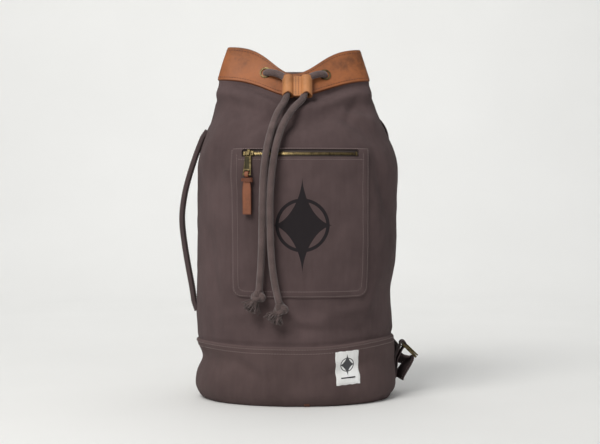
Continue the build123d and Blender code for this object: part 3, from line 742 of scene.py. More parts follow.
BASE_RINGS = ((0.995, 0.9), (0.93, 1.4), (0.5, 1.9), (0.02, 2.2))    # share of the oval, height
rings = np.array([np.stack([half_width(0.8) * share * np.cos(phi), half_depth(0.8) * share * np.sin(phi),
                            np.full(len(phi), z)], -1) for share, z in BASE_RINGS])
base = slab_solid("canvas_base", rings - [0, 0, 0.8], rings + [0, 0, 0.6], CANVAS_BAND, wrap=True,
                  uv=rings[..., :2] * MM)
finish_piece(sharpen(base), "bag", ["base_panel"])


def wall_sheet(name, xs, zs, outer, inner, material, skip=None, edge=None):
    """Thin solid on the front wall over a grid of x and z."""
    points, normals = wall_point(xs, zs)
    uv = np.stack([xs, zs], -1) * MM
    out = np.broadcast_to(np.asarray(outer, float), xs.shape)[..., None]
    within = np.broadcast_to(np.asarray(inner, float), xs.shape)[..., None]
    outside, under = points + normals * out, points + normals * within
    outside[..., 2] = np.maximum(outside[..., 2], 0.15)
    under[..., 2] = np.maximum(under[..., 2], 0.6)
    return sharpen(slab_solid(name, outside, under, material, uv=uv, skip=skip, edge=edge))


# ---- pocket --------------------------------------------------------------------------------
def pocket_inset(z):
    left, right, bottom, top = POCKET
    from_corner = np.minimum(z - bottom, (top - z) * 2.6)
    rise = np.clip((POCKET_CORNER - from_corner) / POCKET_CORNER, 0, 1)
    return POCKET_CORNER * (1 - np.sqrt(1 - rise * rise))


def between(start, end, pitch):
    return np.linspace(start, end, max(2, int(round((end - start) / pitch)) + 1))


def joined(*runs):
    """One list of stations from runs of (start, end, pitch) that follow each other."""
    return np.concatenate([between(*run)[:-1] for run in runs[:-1]] + [between(*runs[-1])])


left, right, bottom, top = POCKET
slot_left, slot_right, slot_low, slot_high = ZIP_SLOT
rows = joined((bottom, bottom + 14, 0.9), (bottom + 14, slot_low, 2.2), (slot_low, slot_high, 2.0),
              (slot_high, top, 0.5))
cols = joined((left, left + 3, 0.6), (left + 3, slot_left, 1.5), (slot_left, slot_right, 1.8),
              (slot_right, right - 3, 1.4), (right - 3, right, 0.6))


def pocket_height(x, z, inset=0.0):
    """Height of the pocket's face over the wall: fuller behind the zip and along its turned edges."""
    near_zip = bump((z - ZIP_Z) / 22)
    from_edge = np.minimum(np.minimum(x - left - inset, right - inset - x), np.minimum(z - bottom, top - z))
    sag = 0.5 * np.sin(z / 21 + x / 34) * smoothstep(from_edge / 18)
    hem = 0.9 * bump((from_edge - 6) / 4.5) - 0.9 * bump(from_edge)
    return 2.1 + 1.9 * near_zip + hem + sag * (1 - near_zip)


inset = pocket_inset(rows)[:, None]
middle, half = (left + right) / 2, (right - left) / 2
xs = middle + (cols - middle) / half * (half - inset)
zs = np.broadcast_to(rows[:, None], xs.shape)
tiny = 0.01
in_slot_x = (cols[:-1] >= slot_left - tiny) & (cols[1:] <= slot_right + tiny)
in_slot_z = (rows[:-1] >= slot_low - tiny) & (rows[1:] <= slot_high + tiny)
lift = pocket_height(xs, zs, inset)
under = np.minimum(lift - 1.3, 0.4 + 2.2 * bump((zs - ZIP_Z) / 22))
from_edge = np.minimum(np.minimum(xs - left - inset, right - inset - xs), np.minimum(zs - bottom, top - zs))
pocket = wall_sheet("canvas_pocket", xs, zs, lift, under, POCKET_CLOTH, in_slot_z[:, None] & in_slot_x,
                    bump(from_edge / 1.5) * 0.9)
finish_piece(pocket, "bag", ["pocket_panel"])

backing_grid = np.meshgrid(between(left + 3, right - 3, 4), between(bottom + 3, top - 3, 4))
finish_piece(wall_sheet("pocket_backing", *backing_grid, 0.35, 0.1, LINING), "bag", ["pocket_back"])
for name, low, high in (("lower", ZIP_Z - 8.6, ZIP_Z - 0.9), ("upper", ZIP_Z + 0.9, ZIP_Z + 6.2)):
    tx, tz = np.meshgrid(between(-76, 85, 1.6), between(low, high, 0.8))
    tape = wall_sheet(f"zip_tape_cloth_{name}", tx, tz, 1.8 + 0.15 * np.cos(tz * 3), 1.1, TAPE)
    finish_piece(tape, "bag", [f"zip_tape_{name}"])


def seam_on_pocket(route):
    """Stitches along a route of (x, z) on the pocket's face."""
    route = np.asarray(route, float)
    x, z, _ = resample(np.column_stack([route, np.zeros(len(route))]), 1.2).T
    return stitch_parts(*wall_point(x, z, pocket_height(x, z)))


def pocket_row(gap):
    radius = POCKET_CORNER - gap * 0.6
    arc = [(left + gap + radius * (1 + cos(a)), bottom + gap + radius * (1 + sin(a)))
           for a in np.linspace(pi, 1.5 * pi, 9)]
    mirror = [(left + right - x, z) for x, z in arc[::-1]]
    return [(left + gap, top - gap)] + arc + mirror + [(right - gap, top - gap)]


pocket_rows = []
for gap in (2.2, 8.6):
    pocket_rows += seam_on_pocket(pocket_row(gap))
pocket_rows += seam_on_pocket([(left + 10, slot_low - 3.4), (right - 10, slot_low - 3.4)])
pocket_rows += seam_on_pocket([(left + 3, top - 1.6), (right - 3, top - 1.6)])
finish_piece(sew("stitches_pocket", pocket_rows, THREAD), "bag")


# ---- rows of stitches round the bag ---------------------------------------------------------
def ring_stitches(limit, side, offset, **kw):
    phi = side * np.linspace(0.02, pi - 0.02, 260)
    points, normals = surface_grid(phi, heights_of(limit, phi))
    return stitch_parts(points + normals * offset, normals, **kw)


band_rows, collar_rows = [], []
for _, side in SIDES:
    for drop in (3.6, 9.2):
        band_rows += ring_stitches(lambda x: band_top(x) - drop, side, 2.6)
    for limit in (lambda x: top_edge(x) - 4.4, lambda x: collar_edge(x) + 4.2):
        collar_rows += ring_stitches(limit, side, 2.15, width=0.9, pitch=3.9, length=3.0)
finish_piece(sew("stitches_band", band_rows, THREAD), "bag")
finish_piece(sew("stitches_collar", collar_rows, THREAD_DARK), "bag")

# ---- label and base tab ----------------------------------------------------------------------
LABEL_MIDDLE = (67.0, 52.0)
LABEL_SIZE = (32.0, 45.0)
LABEL_TILT = radians(3)
LABEL_FRAME = (14.3, 20.6)            # half width and half height of its row of stitches


def on_label(u, v, offset=0.0):
    """Points and normals on the wall at u, v from the label's middle, along its tilted sides."""
    return wall_point(LABEL_MIDDLE[0] + u * cos(LABEL_TILT) - v * sin(LABEL_TILT),
                      LABEL_MIDDLE[1] + u * sin(LABEL_TILT) + v * cos(LABEL_TILT), offset)


lu, lv = np.meshgrid(np.linspace(-0.5, 0.5, 34), np.linspace(-0.5, 0.5, 46))
du = lu * LABEL_SIZE[0] + 0.7 * np.sin(lv * 17) * np.abs(lu)
dv = lv * LABEL_SIZE[1] + 0.6 * np.sin(lu * 21 + 1) * np.abs(lv)
rim = np.minimum(0.5 - np.abs(lu), 0.5 - np.abs(lv)) * LABEL_SIZE[0]
points, normals = on_label(du, dv)
raised = (3.25 + 0.25 * np.sin(du / 5) * np.sin(dv / 6) - 0.35 * bump(rim / 0.8))[..., None]
label = slab_solid("label_sewn", points + normals * raised, points + normals * 2.65, LABEL_CLOTH,
                   uv=np.stack([du, dv], -1) * MM)
finish_piece(sharpen(label), "bag", ["label"])
corners = [(-1, -1), (1, -1), (1, 1), (-1, 1), (-1, -1)]
rows = []
for start, end in zip(corners, corners[1:]):
    (u0, v0), (u1, v1) = (np.multiply(corner_sign, LABEL_FRAME) for corner_sign in (start, end))
    rows += stitch_parts(*on_label(np.linspace(u0, u1, 30), np.linspace(v0, v1, 30), 3.25), 0.45, 2.6, 1.9)
finish_piece(sew("stitches_label", rows, thread_material("label_thread", (0.72, 0.72, 0.70))), "bag")

u, v = np.meshgrid(np.linspace(-9.5, 9.5, 24), (-13.95, -12.45))
points, normals = on_label(u, v)
bar = slab_solid("label_bar", points + normals * 3.6, points + normals * 3.1, INK,
                 uv=np.stack([u, v], -1) * MM)
finish_piece(sharpen(bar), "bag")

tab_grid = np.meshgrid(np.linspace(9.5, 16.5, 8), np.linspace(0.9, 6.0, 9))
# the tab's leather carries painted shade for its place under the bag
tab = wall_sheet("leather_base_tab", *tab_grid, 3.6, 2.4, TAB_LEATHER_PAINTED_SHADE)
finish_piece(tab, "bag", ["base_tab"])

# ---- drawcord --------------------------------------------------------------------------------
ROPE_D = 9.2
LOCK_Z = 424.0
LOCK_STANDOFF = 10.5
LOCK_TUBE_X = 12.4
EYELETS = ((-43.0, 449.0), (38.0, 446.0))


def oval_point(x, z, offset):
    """Point above the plain oval's front, as in the CAD part, and its outward normal."""
    def front(px, pz):
        a, b = half_width(pz), half_depth(pz)
        return np.array([px, -b * sqrt(1 - ((px - centre_x(pz)) / a) ** 2), pz])
    at = front(x, z)
    across, upward = front(x + 0.1, z) - front(x - 0.1, z), front(x, z + 0.1) - front(x, z - 0.1)
    normal = unit(np.cross(across, upward))
    return at + normal * offset, normal


LOCK_MIDDLE, LOCK_OUT = oval_point(0.0, LOCK_Z, LOCK_STANDOFF)
LOCK_UP = unit(np.cross(LOCK_OUT, [1.0, 0, 0]))
LOCK_FACE = np.cross([1.0, 0, 0], LOCK_UP)


def lock_point(x, along):
    return LOCK_MIDDLE + np.array([x, 0, 0]) - LOCK_UP * along


LEFT_TAIL = [(-12.4, -61.3, 430.0), (-13.2, -71.2, 413.0), (-26.5, -88.5, 394.5), (-36.3, -109.5, 363.5),
             (-41.4, -121.4, 338.5), (-44.4, -126.0, 310.0), (-45.6, -126.2, 281.0), (-46.0, -124.6, 253.0),
             (-46.4, -120.8, 224.5), (-47.4, -118.9, 195.5), (-49.2, -118.4, 169.0), (-50.3, -118.2, 157.0)]
RIGHT_TAIL = [(12.4, -61.3, 430.0), (10.5, -71.0, 414.0), (-4.0, -83.5, 401.5), (-18.8, -101.0, 379.0),
              (-27.0, -116.8, 353.0), (-31.5, -124.8, 327.0), (-34.6, -126.0, 299.5), (-35.9, -124.9, 270.0),
              (-35.4, -123.2, 240.0), (-34.6, -122.2, 210.0), (-32.0, -122.2, 182.0), (-27.5, -122.9, 156.0),
              (-23.4, -123.5, 140.0)]
RIM_STANDOFF = ROPE_D / 2 + 2 + 2.4   # the rope's middle over an eyelet's rim
INSIDE = -15.0                        # and where it has passed through the wall


def eyelet_point(number, offset):
    return oval_point(*EYELETS[number], offset)[0]


HELD = [lock_point(-LOCK_TUBE_X, -1.8), lock_point(-LOCK_TUBE_X - 1, -17.0),
        eyelet_point(0, RIM_STANDOFF), eyelet_point(0, INSIDE), (-64.0, 0.5, 449.0), (-40.0, 22.0, 450.0),
        (-3.0, 26.0, 451.0), (34.0, 22.5, 450.0), (58.0, 0.5, 448.0), eyelet_point(1, INSIDE),
        eyelet_point(1, RIM_STANDOFF), lock_point(LOCK_TUBE_X + 1, -17.0), lock_point(LOCK_TUBE_X, -1.8)]


def curve_points(name, points):
    """Points, in millimetres, of the NURBS curve that the rope follows."""
    data = bpy.data.curves.new(name, "CURVE")
    data.dimensions = "3D"
    data.resolution_u = 24
    spline = data.splines.new("NURBS")
    spline.points.add(len(points) - 1)
    for slot, p in zip(spline.points, points):
        slot.co = (p[0] * MM, p[1] * MM, p[2] * MM, 1)
    spline.order_u = 3
    spline.use_endpoint_u = True
    obj = bpy.data.objects.new(name, data)
    bpy.context.scene.collection.objects.link(obj)
    bpy.context.view_layer.update()
    mesh = bpy.data.meshes.new_from_object(obj.evaluated_get(bpy.context.evaluated_depsgraph_get()))
    found = np.array([v.co for v in mesh.vertices], float) / MM
    bpy.data.objects.remove(obj)
    bpy.data.meshes.remove(mesh)
    return found


def braid(pitch_rows):
    """Radius of a braided rope: strands crossing in two directions, with a valley between them."""
    def radius(row, angle):
        a = 4 * angle + pi * row / pitch_rows
        b = 4 * angle - pi * row / pitch_rows
        over = np.sin(a / 2 + b / 2) > 0
        strand = np.where(over, np.abs(np.sin(a)), np.abs(np.sin(b)))
        return ROPE_D / 2 * (0.88 + 0.135 * np.sqrt(strand)) + 0.06 * np.sin(17 * angle + 0.9 * row)
    return radius


def rope_tube(name, path, radius, sides, ridge, depth):
    """Rope along a path, whose edge attribute is 1 in the valleys, depth below a ridge of that radius; its
    material paints shade there.
    """
    verts, faces = tube_mesh(path, radius, sides)
    obj = mesh_object(name, verts, faces, ROPE)
    reach = np.linalg.norm(verts - np.repeat(path, sides, axis=0), axis=1)
    edge_attribute(obj, np.clip((ridge - reach) / depth, 0, 1))
    return obj


def rope_object(name, points):
    path = resample(points, 0.55)
    return rope_tube(name, path, braid(5.5), 48, 0.975 * ROPE_D / 2, 0.09 * ROPE_D / 2), path


def frame_at(direction):
    along = unit(np.asarray(direction, float))
    sideways = unit(np.cross(along, [0.0, 1.0, 0.0]))
    return along, sideways, np.cross(sideways, along)


def knot_strands(row, angle):
    return 3.85 + 0.42 * np.abs(np.sin(4 * angle + row * 0.5)) + 0.1 * np.sin(13 * angle + row)


def knot_object(name, end, direction, turn):
    """Overhand knot: a trefoil of rope, pulled tight, seen from its flat side."""
    along, sideways, forward = frame_at(direction)
    t = np.linspace(0, 2 * pi, 150, endpoint=False) + turn
    loop = (end + along * 7.5 + np.outer((np.sin(t) + 2 * np.sin(2 * t)) * 2.2, sideways)
            + np.outer((np.cos(t) - 2 * np.cos(2 * t)) * 1.8, along) - np.outer(np.sin(3 * t) * 2.4, forward))
    # the valleys between the knot's strands get the rope's painted shade
    return rope_tube(name, np.concatenate([loop, loop[:2]]), knot_strands, 28, 4.05, 0.25)


FRAY_YARNS = 170
FRAY_DIRECTION = (-0.5, 0.02, -0.87)
POCKET_FACE_Y = -114.6                # the yarns stay in front of it


def fray_object(name, end, direction, length):
    start = end + unit(direction) * 10.0 + np.array([-2.5, 0, 0])
    d, s, n = frame_at(FRAY_DIRECTION)
    parts = []
    for _ in range(FRAY_YARNS):
        a, r = rng.uniform(0, 2 * pi), sqrt(rng.uniform(0, 1)) * 3.9
        spread = rng.uniform(1.3, 4.0)
        long = (length + 3.0) * rng.uniform(0.6, 1.0)
        curl, phase = rng.uniform(0.2, 1.3), rng.uniform(0, 2 * pi)
        t = np.linspace(0, 1, 9)
        out = r * (1 + (spread - 1) * t ** 1.4)
        p = (start + np.outer(t * long, d) + np.outer(out * cos(a) + curl * np.sin(5 * t + phase), s)
             + np.outer(out * sin(a) * 0.85 + curl * np.cos(6 * t + phase), n))
        p[:, 1] = np.minimum(p[:, 1], POCKET_FACE_Y)
        parts.append(tube_mesh(p, np.linspace(0.95, 0.75, 9), 6))
    obj = sew(name, parts, ROPE)
    # painted shade: each yarn is darkened by a random amount, with the rope's valley shading
    edge_attribute(obj, np.repeat(rng.uniform(0, 0.75, FRAY_YARNS), len(obj.data.vertices) // FRAY_YARNS))
    return obj


# each tail's route, length in metres, length of its frayed end, and turn of its knot
TAILS = {"left": (LEFT_TAIL, 0.296, 18.0, 0.4), "right": (RIGHT_TAIL, 0.320, 15.0, 2.1)}
for name, (tail, length, fray, turn) in TAILS.items():
    rope, path = rope_object(f"rope_{name}_tail", curve_points(f"route_{name}", tail))
    finish_piece(rope, "bag", [f"drawcord_{name}_tail"])
    end, direction = np.array(tail[-1]), np.subtract(tail[-1], tail[-2])
    knot = knot_object(f"knot_{name}", end, direction, turn)
    finish_piece(knot, "bag", [f"{name}_tail_knot"])
    brush = fray_object(f"fray_{name}", end, direction, fray)
    finish_piece(brush, "bag", [f"{name}_tail_fray"])
held, _ = rope_object("rope_held", curve_points("route_held", HELD))
finish_piece(held, "bag", ["drawcord_held"])

# ---- cord lock: two leather pieces sewn down the middle --------------------------------------
LOCK_HALF_WIDTH = 20.4
p = np.linspace(-LOCK_HALF_WIDTH, LOCK_HALF_WIDTH, 137)
from_rope = np.abs(np.abs(p) - LOCK_TUBE_X)


def arch(radius):
    return np.sqrt(np.clip(radius ** 2 - from_rope ** 2, 0, None))


def rounded_max(a, b, sharpness=1.6):
    return np.log(np.exp(a * sharpness) + np.exp(b * sharpness)) / sharpness


outer_face = rounded_max(arch(7.2), 1.5) + 0.35 * bump(p / 2.2)
inner_face = np.maximum(arch(5.2), 0.06)
down_from = -16.8 + 0.9 * bump(from_rope / 6)
down_to = 17.0 - 3.4 * bump(from_rope / 5.5)
t = np.linspace(0, 1, 60)[:, None]
along = down_from * (1 - t) + down_to * t
crease_height = 1 + 0.02 * np.sin(along / 4 + p / 5)
spots = LOCK_MIDDLE + p[:, None] * np.array([1.0, 0, 0]) - along[..., None] * LOCK_UP
worn = np.maximum(bump((along - down_from) / 0.8), bump((along - down_to) / 0.8))
worn = np.maximum(worn, bump((np.abs(p) - LOCK_HALF_WIDTH) / 0.8))
for name, sign in (("front", 1), ("back", -1)):
    outside = spots + sign * (outer_face * crease_height)[..., None] * LOCK_FACE
    inside = spots + sign * inner_face[:, None] * LOCK_FACE
    piece = slab_solid(f"leather_lock_{name}", outside, inside, LOCK_LEATHER, edge=worn)
    finish_piece(sharpen(piece), "bag", [f"cord_lock_{name}"])
rows = []
for x in (-1.9, 1.9):
    height = np.interp(x, p, outer_face) + 0.02
    line = np.array([lock_point(x, a) + LOCK_FACE * height for a in np.linspace(-15.5, 15.8, 40)])
    rows += stitch_parts(line, np.broadcast_to(LOCK_FACE, line.shape), 0.8, 3.4, 2.5)
finish_piece(sew("stitches_lock", rows, THREAD_DARK), "bag")

# ---- leather pull tab ------------------------------------------------------------------------
ZIP_ARC_RADIUS = 167.98
SLIDER_X = -62.4
LOOP_TOP = 4.0                        # the CAD tab's top stands this far above its pivot
lo, hi = (np.array(c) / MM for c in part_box("pull_tab"))
PIVOT = np.array([(lo[0] + hi[0]) / 2, (lo[1] + hi[1]) / 2, hi[2] - LOOP_TOP])
sweep = asin(SLIDER_X / ZIP_ARC_RADIUS)
TAB_AXES = np.array([(cos(sweep), sin(sweep), 0.0), (0.0, 0.0, 1.0), (sin(sweep), -cos(sweep), 0.0)])


def tab_point(x, y, z):
    """Point at x across the tab, y up it and z out of it, from its pivot in the puller's foot."""
    return PIVOT + np.stack(np.broadcast_arrays(x, y, z), -1) @ TAB_AXES


t = np.linspace(0, 1, 50)[:, None]
across = np.linspace(-1, 1, 15)
strip_y = -5.2 - 48.6 * t
half_strip = 3.1 + 1.5 * smoothstep(t / 0.08) + 1.5 * smoothstep(t / 0.35)
half_strip -= 0.5 * smoothstep((t - 0.97) / 0.03)
curve_out = 0.35 * np.sin(t * 5)
front = tab_point(half_strip * across, strip_y, 1.35 + curve_out - 0.35 * np.abs(across) ** 6)
back = tab_point(half_strip * across, strip_y, curve_out - 1.2)
worn = np.maximum(bump((1 - np.abs(across)) / 0.12), bump((1 - t) / 0.02))
strip = slab_solid("leather_tab_strip", front, back, TAB_LEATHER, edge=worn)
finish_piece(sharpen(strip), "pull_tab", ["pull_tab"])

# share of the width, share of the thickness, and wear of each corner of a leather band's section
BAND_SECTION = np.array([(-0.5, -0.5, 1.0), (-0.46, 0.42, 0.5), (-0.2, 0.5, 0.0), (0.2, 0.5, 0.0),
                         (0.46, 0.42, 0.5), (0.5, -0.5, 1.0)])


def leather_band(centre, across, width, thick):
    out = unit(np.cross(tangents(centre), across))
    u, v, _ = BAND_SECTION.T
    verts = centre[:, None] + u[:, None] * width * across + v[:, None] * thick * out[:, None]
    sides = len(BAND_SECTION)
    return verts.reshape(-1, 3), grid_faces(len(centre), sides, wrap=True) + cap_faces(len(centre), sides)


# the loop through the puller's foot, and the narrow end wound twice round the neck
a = np.linspace(0, 2 * pi, 40)
parts = [leather_band(tab_point(0, 3.3 * np.cos(a) - 0.5, 2.6 * np.sin(a)), TAB_AXES[0], 6.0, 1.2)]
a = np.linspace(0, 2 * pi, 54)
for level, slope, size in ((-6.7, 0.12, 1.0), (-8.8, -0.2, 1.04)):
    ring = tab_point(7.3 * size * np.cos(a), level + slope * 3.2 * np.cos(a), 2.7 * size * np.sin(a))
    parts.append(leather_band(ring, TAB_AXES[1], 3.0, 1.3))
wrap = sew("leather_tab_knot", parts, TAB_LEATHER)
edge_attribute(wrap, np.tile(BAND_SECTION[:, 2], len(wrap.data.vertices) // len(BAND_SECTION)))
finish_piece(sharpen(wrap, 50), "pull_tab", ["pull_tab_wrap"])


# ---- webbing: handle, straps, tabs -----------------------------------------------------------
def smooth_rows(rows, steps):
    """Catmull-Rom curve through rows of numbers."""
    rows = np.asarray(rows, float)
    rows = np.vstack([rows[0] * 2 - rows[1], rows, rows[-1] * 2 - rows[-2]])
    out = []
    for a, b, c, d in zip(rows, rows[1:], rows[2:], rows[3:]):
        for t in np.arange(steps) / steps:
            out.append((b * 2 + (c - a) * t + (a * 2 - b * 5 + c * 4 - d) * t ** 2
                        + (b * 3 - a - c * 3 + d) * t ** 3) * 0.5)
    return np.array(out + [rows[-2]])


def webbing(name, centres, across, widths, thick, steps=14, crown=0.25, rib=0.0):
    """Closed ribbon with a rounded section, its UVs in metres, and the object of its rows of stitches."""
    centres, across = smooth_rows(centres, steps), smooth_rows(across, steps)
    tangent = tangents(centres)
    across = unit(across - tangent * np.sum(across * tangent, 1, keepdims=True))
    out = np.cross(tangent, across)
    widths = np.interp(np.linspace(0, 1, len(centres)), np.linspace(0, 1, len(widths)), widths)
    run = run_length(centres)[:, None]
    sides = 40
    c, s = (way(np.linspace(0, 2 * pi, sides, endpoint=False)) for way in (np.cos, np.sin))
    u = np.sign(c) * np.abs(c) ** 0.28 * 0.5
    v = np.sign(s) * np.abs(s) ** 0.5 * 0.5 * (1 + crown * (0.5 - np.abs(u)))
    wobble = 0.35 * np.sin(run / 13) * c
    verts = (centres[:, None] + (u * widths[:, None])[..., None] * across[:, None]
             + (v * thick + wobble * rib)[..., None] * out[:, None])
    uv = np.stack(np.broadcast_arrays(u * widths[:, None], run), -1) * MM
    faces = grid_faces(len(centres), sides, wrap=True) + cap_faces(len(centres), sides)
    ribbon = mesh_object(name, verts.reshape(-1, 3), faces, STRAP, uv.reshape(-1, 2))
    edge_attribute(ribbon, np.tile(np.clip((np.abs(u) - 0.47) / 0.03, 0, 1) * 0.6, len(centres)))
    rows = []
    for face in (1, -1):
        for side in (1, -1):
            line = centres + across * (side * (widths / 2 - 3.0))[:, None] + out * (face * thick * 0.53)
            rows += stitch_parts(line, out * face)
    return sharpen(ribbon, 55), sew(f"stitches_{name}", rows, THREAD)


def bend_across(pieces):
    for obj in pieces:
        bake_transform(obj)


HANDLE_ROUTE = [(-129, 0, 368), (-138.5, 0, 345), (-148.5, 0, 316), (-157, 0, 284), (-161, 0, 250),
                (-158, 0, 216), (-152.5, 0, 182), (-147, 0, 152), (-143.5, 0, 128)]
whole = smooth_rows(HANDLE_ROUTE, 4)
whole = np.vstack([[-125.0, 0, 371.5], whole[1:-1], [-140.0, 0, 121.0]])
HANDLE_MIDDLE = 16
# each half's stations, where it stops following the bag, where it follows the handle, and what it replaces
HANDLE_HALVES = {
    "upper": (whole[:HANDLE_MIDDLE + 1], (-129, 0, 372), (-158, 0, 290), ["handle_grip", "handle_top_end"]),
    "lower": (whole[HANDLE_MIDDLE:], (-144, 0, 128), (-159, 0, 205), ["handle_bottom_end"]),
}
for name, (centres, start, end, covers) in HANDLE_HALVES.items():
    along_y = np.tile([0.0, 1.0, 0.0], (len(centres), 1))
    pieces = webbing(f"handle_{name}", centres, along_y, [22, 22], 6.5, steps=5, crown=0.35, rib=0.6)
    bend_across(pieces)
    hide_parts(*covers)

# each station of a strap is its middle and the direction of its width
STRAP_ROUTE = [((26, 47, 446), (1, 0, 0)), ((46, 66, 428), (1, -0.2, 0)),
               ((86, 90, 404), (1, -0.55, -0.25)), ((116, 98, 374), (1, -0.75, -0.1)),
               ((116, 112, 330), (1, -0.75, 0)), ((100, 124, 280), (1, -0.6, 0)),
               ((90, 128, 225), (1, -0.45, 0)), ((92, 124, 170), (1, -0.5, 0.1))]
BEFORE_RIGHT = [((106, 110, 116), (0.85, -0.55, 0.4)), ((122, 94, 78), (0.45, -0.4, 0.8)),
                ((138, 70, 58), (0.35, -0.45, 0.8))]
BEFORE_LEFT = [((94, 122, 128), (0.9, -0.5, 0.3)), ((97, 121, 96), (0.7, -0.3, 0.6)),
               ((101, 117, 72), (0.6, -0.1, 0.7))]
NEAR_BUCKLE = [((149, 46, 52), (0.15, -0.85, 0.45)), ((157, 33, 51.5), (0, -1, 0.1)),
               ((162, 30, 50), (0.15, -1, 0)), ((159, 30, 44.5), (0.3, -0.95, 0)),
               ((154.5, 30, 38.5), (0.4, -0.92, 0)), ((150, 30, 32), (0.42, -0.9, 0)),
               ((146, 30, 25), (0.42, -0.9, 0)), ((144.5, 30, 21), (0.42, -0.9, 0))]
BUCKLE_BAR = (150.0, 70.0)            # x, z of the heel bar
BUCKLE_Y = 30.0
LEFT_ROUND = radians(25)              # the left buckle sits further round the back
LEFT_INSET = 10.2
TAB_HALF_WIDTH = 13.0
TAB_HALF_THICKNESS = 0.75
TAB_PITCH = 0.9
SLOT_HALF_WIDTH = 2.0                 # the prong passes through the tab where it turns round the bar


def on_side(side, points):
    points = np.asarray(points, float)
    if side > 0:
        return points
    x, y, z = -points[..., 0] + LEFT_INSET, points[..., 1], points[..., 2]
    c, s = cos(-LEFT_ROUND), sin(-LEFT_ROUND)
    return np.stack([x * c - y * s, x * s + y * c, z], -1)


def strap(side, name):
    """Shoulder strap: from the collar's back down to the buckle, under its frame and out as a free end."""
    mirror = np.array([side, 1, 1])
    origin = on_side(side, np.zeros(3))
    upper = STRAP_ROUTE + (BEFORE_RIGHT if side > 0 else BEFORE_LEFT)
    centres = [q * mirror for q, _ in upper] + [on_side(side, q) for q, _ in NEAR_BUCKLE]
    across = [q * mirror for _, q in upper] + [on_side(side, q) - origin for _, q in NEAR_BUCKLE]
    widths = 38.0 - 10.0 * smoothstep((np.linspace(0, 1, 40) - 0.42) / 0.12)
    pieces = webbing(f"strap_{name}", centres, across, widths, 2.6)
    bend_across(pieces)
    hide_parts(f"shoulder_strap_{name}", f"strap_tail_{name}")


def lower_tab(side, name):
    """Doubled canvas tab: up from the bag's side, round the heel bar and back down."""
    bar_x, bar_z = BUCKLE_BAR
    foot = HALF_WIDTH * sqrt(1 - ((BUCKLE_Y - TAB_HALF_WIDTH) / HALF_DEPTH) ** 2)
    foot += 2.0 - (BAND_INSET_RIGHT if side > 0 else 0)
    turn = np.linspace(radians(200), radians(-55), 26)
    outline = [(foot + 0.9, 22.5), (foot + 2.0, 50), (bar_x - 4.6, bar_z - 4)]
    outline += [(bar_x + 4.1 * cos(k), bar_z + 4.1 * sin(k)) for k in turn]
    outline += [(bar_x - 1.0, bar_z - 7.0), (foot + 5.6, 49.0), (foot + 3.4, 22.5)]
    line = resample([(x, 0, z) for x, z in outline], TAB_PITCH)
    outward = np.cross(tangents(line), [0, -1.0, 0])[:, None]
    ys = np.linspace(-TAB_HALF_WIDTH, TAB_HALF_WIDTH, 27)
    rows = np.arange(len(line))[:, None]
    sheet = line[:, None] + np.array([0, 1.0, 0]) * (ys[:, None] + BUCKLE_Y)
    ripple = (0.25 * np.sin(ys / 3.4) * np.sin(rows / 9))[..., None]
    near = np.hypot(line[:, 0] - bar_x, line[:, 2] - bar_z) < 8.5
    cut = near[:-1, None] & (np.abs((ys[:-1] + ys[1:]) / 2) < SLOT_HALF_WIDTH)
    outside = on_side(side, sheet + outward * (TAB_HALF_THICKNESS + ripple))
    inside = on_side(side, sheet - outward * (TAB_HALF_THICKNESS - ripple))
    uv = np.stack(np.broadcast_arrays(ys, rows * TAB_PITCH), -1) * MM
    worn = np.broadcast_to(bump((TAB_HALF_WIDTH - np.abs(ys)) / 0.8), uv.shape[:2])
    tab = slab_solid(f"canvas_tab_{name}", outside, inside, STRAP, uv=uv, skip=cut, edge=worn)
    finish_piece(sharpen(tab, 55), "bag", [f"lower_tab_{name}"])


for side, name in ((1, "right"), (-1, "left")):
    strap(side, name)
    lower_tab(side, name)

# ---- CAD pieces that stay --------------------------------------------------------------------
def puller_brass():
    """Brass with a darkened panel in the puller's recess."""
    material = brass_material("puller_brass")
    lo, hi = (np.array(c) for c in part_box("zip_puller"))
    s = Shader(material)
    split = s.add("ShaderNodeSeparateXYZ", Vector=s.position())
    beside = s.from_middle(split.outputs["X"], float(lo[0] + hi[0]) / 2 - 0.0002)
    along = s.from_middle(split.outputs["Z"], float(hi[2]) - 0.0142)
    inside = s.math("MULTIPLY", s.math("LESS_THAN", beside, 0.0031), s.math("LESS_THAN", along, 0.0079))
    s.painted(s.math("MULTIPLY", inside, 0.85), (0.03, 0.028, 0.018))
    return material


KEPT_MATERIALS = {"zip_puller": puller_brass(), "zip_teeth_lower": ZIP_BRASS, "zip_teeth_upper": ZIP_BRASS,
                  "zip_stops": ZIP_BRASS, "base_stiffener": BOARD}
for node, obj in NODES.items():
    if not obj.hide_render:
        obj.data.materials.clear()
        obj.data.materials.append(KEPT_MATERIALS.get(node, BRASS))

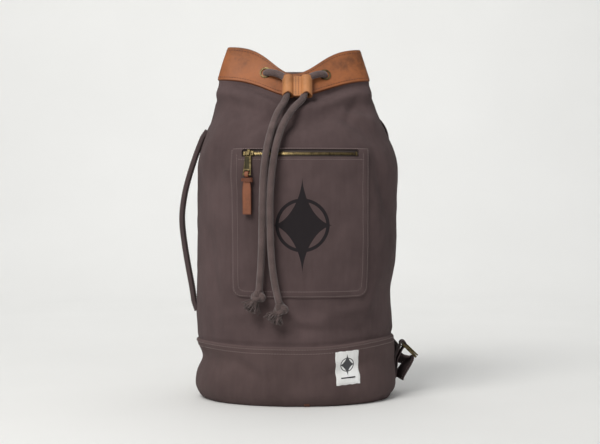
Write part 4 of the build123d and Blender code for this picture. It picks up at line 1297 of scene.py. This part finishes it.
# ---- stage, camera and light -----------------------------------------------------------------
COVE_START, COVE_RADIUS = 1500.0, 900.0
cove = [(COVE_START + COVE_RADIUS * sin(k), COVE_RADIUS * (1 - cos(k))) for k in np.linspace(0, pi / 2, 24)]
profile = [(-3500.0, 0.0), (COVE_START, 0.0)] + cove + [(COVE_START + COVE_RADIUS, 4200.0)]
verts = [(x, y, z) for y, z in profile for x in (-5000.0, 5000.0)]
faces = [(2 * k, 2 * k + 1, 2 * k + 3, 2 * k + 2) for k in range(len(profile) - 1)]
mesh_object("studio_floor", verts, faces, floor_material(), closed=False)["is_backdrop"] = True

scene = bpy.context.scene
scene.view_settings.view_transform = "Standard"
camera_data = bpy.data.cameras.new("camera")
camera_data.sensor_width = 36.0
camera_data.lens = 90.0
camera = bpy.data.objects.new("camera", camera_data)
scene.collection.objects.link(camera)
camera.location = (0.004, -2.1, 0.310)
camera.rotation_euler = (radians(90 - 1.8), 0, 0)
scene.camera = camera


def area_light(name, location, target, size, power, color):
    data = bpy.data.lights.new(name, "AREA")
    data.shape = "RECTANGLE"
    data.size, data.size_y = size
    data.energy = power
    data.color = color
    obj = bpy.data.objects.new(name, data)
    scene.collection.objects.link(obj)
    obj.location = location
    obj.rotation_euler = (Vector(target) - Vector(location)).to_track_quat("-Z", "Y").to_euler()


area_light("key", (-1.1, -1.9, 2.2), (0, 0, 0.28), (1.4, 1.4), 67, (1.0, 0.985, 0.96))
area_light("fill", (1.9, -2.0, 1.0), (0, 0, 0.25), (2.0, 2.0), 2, (0.96, 0.98, 1.0))
area_light("top", (0.1, 0.4, 2.6), (0, 0.3, 0.0), (2.6, 2.6), 9, (1.0, 1.0, 1.0))
area_light("backdrop", (0, 1.1, 2.3), (0, 3.0, 1.0), (2.6, 1.0), 20, (1.0, 1.0, 1.0))
world = bpy.data.worlds.new("studio")
scene.world = world
world.use_nodes = True
sky = world.node_tree.nodes["Background"].inputs
sky["Color"].default_value = (0.93, 0.94, 0.95, 1)
sky["Strength"].default_value = 0.36

bpy.context.view_layer.update()
low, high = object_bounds()
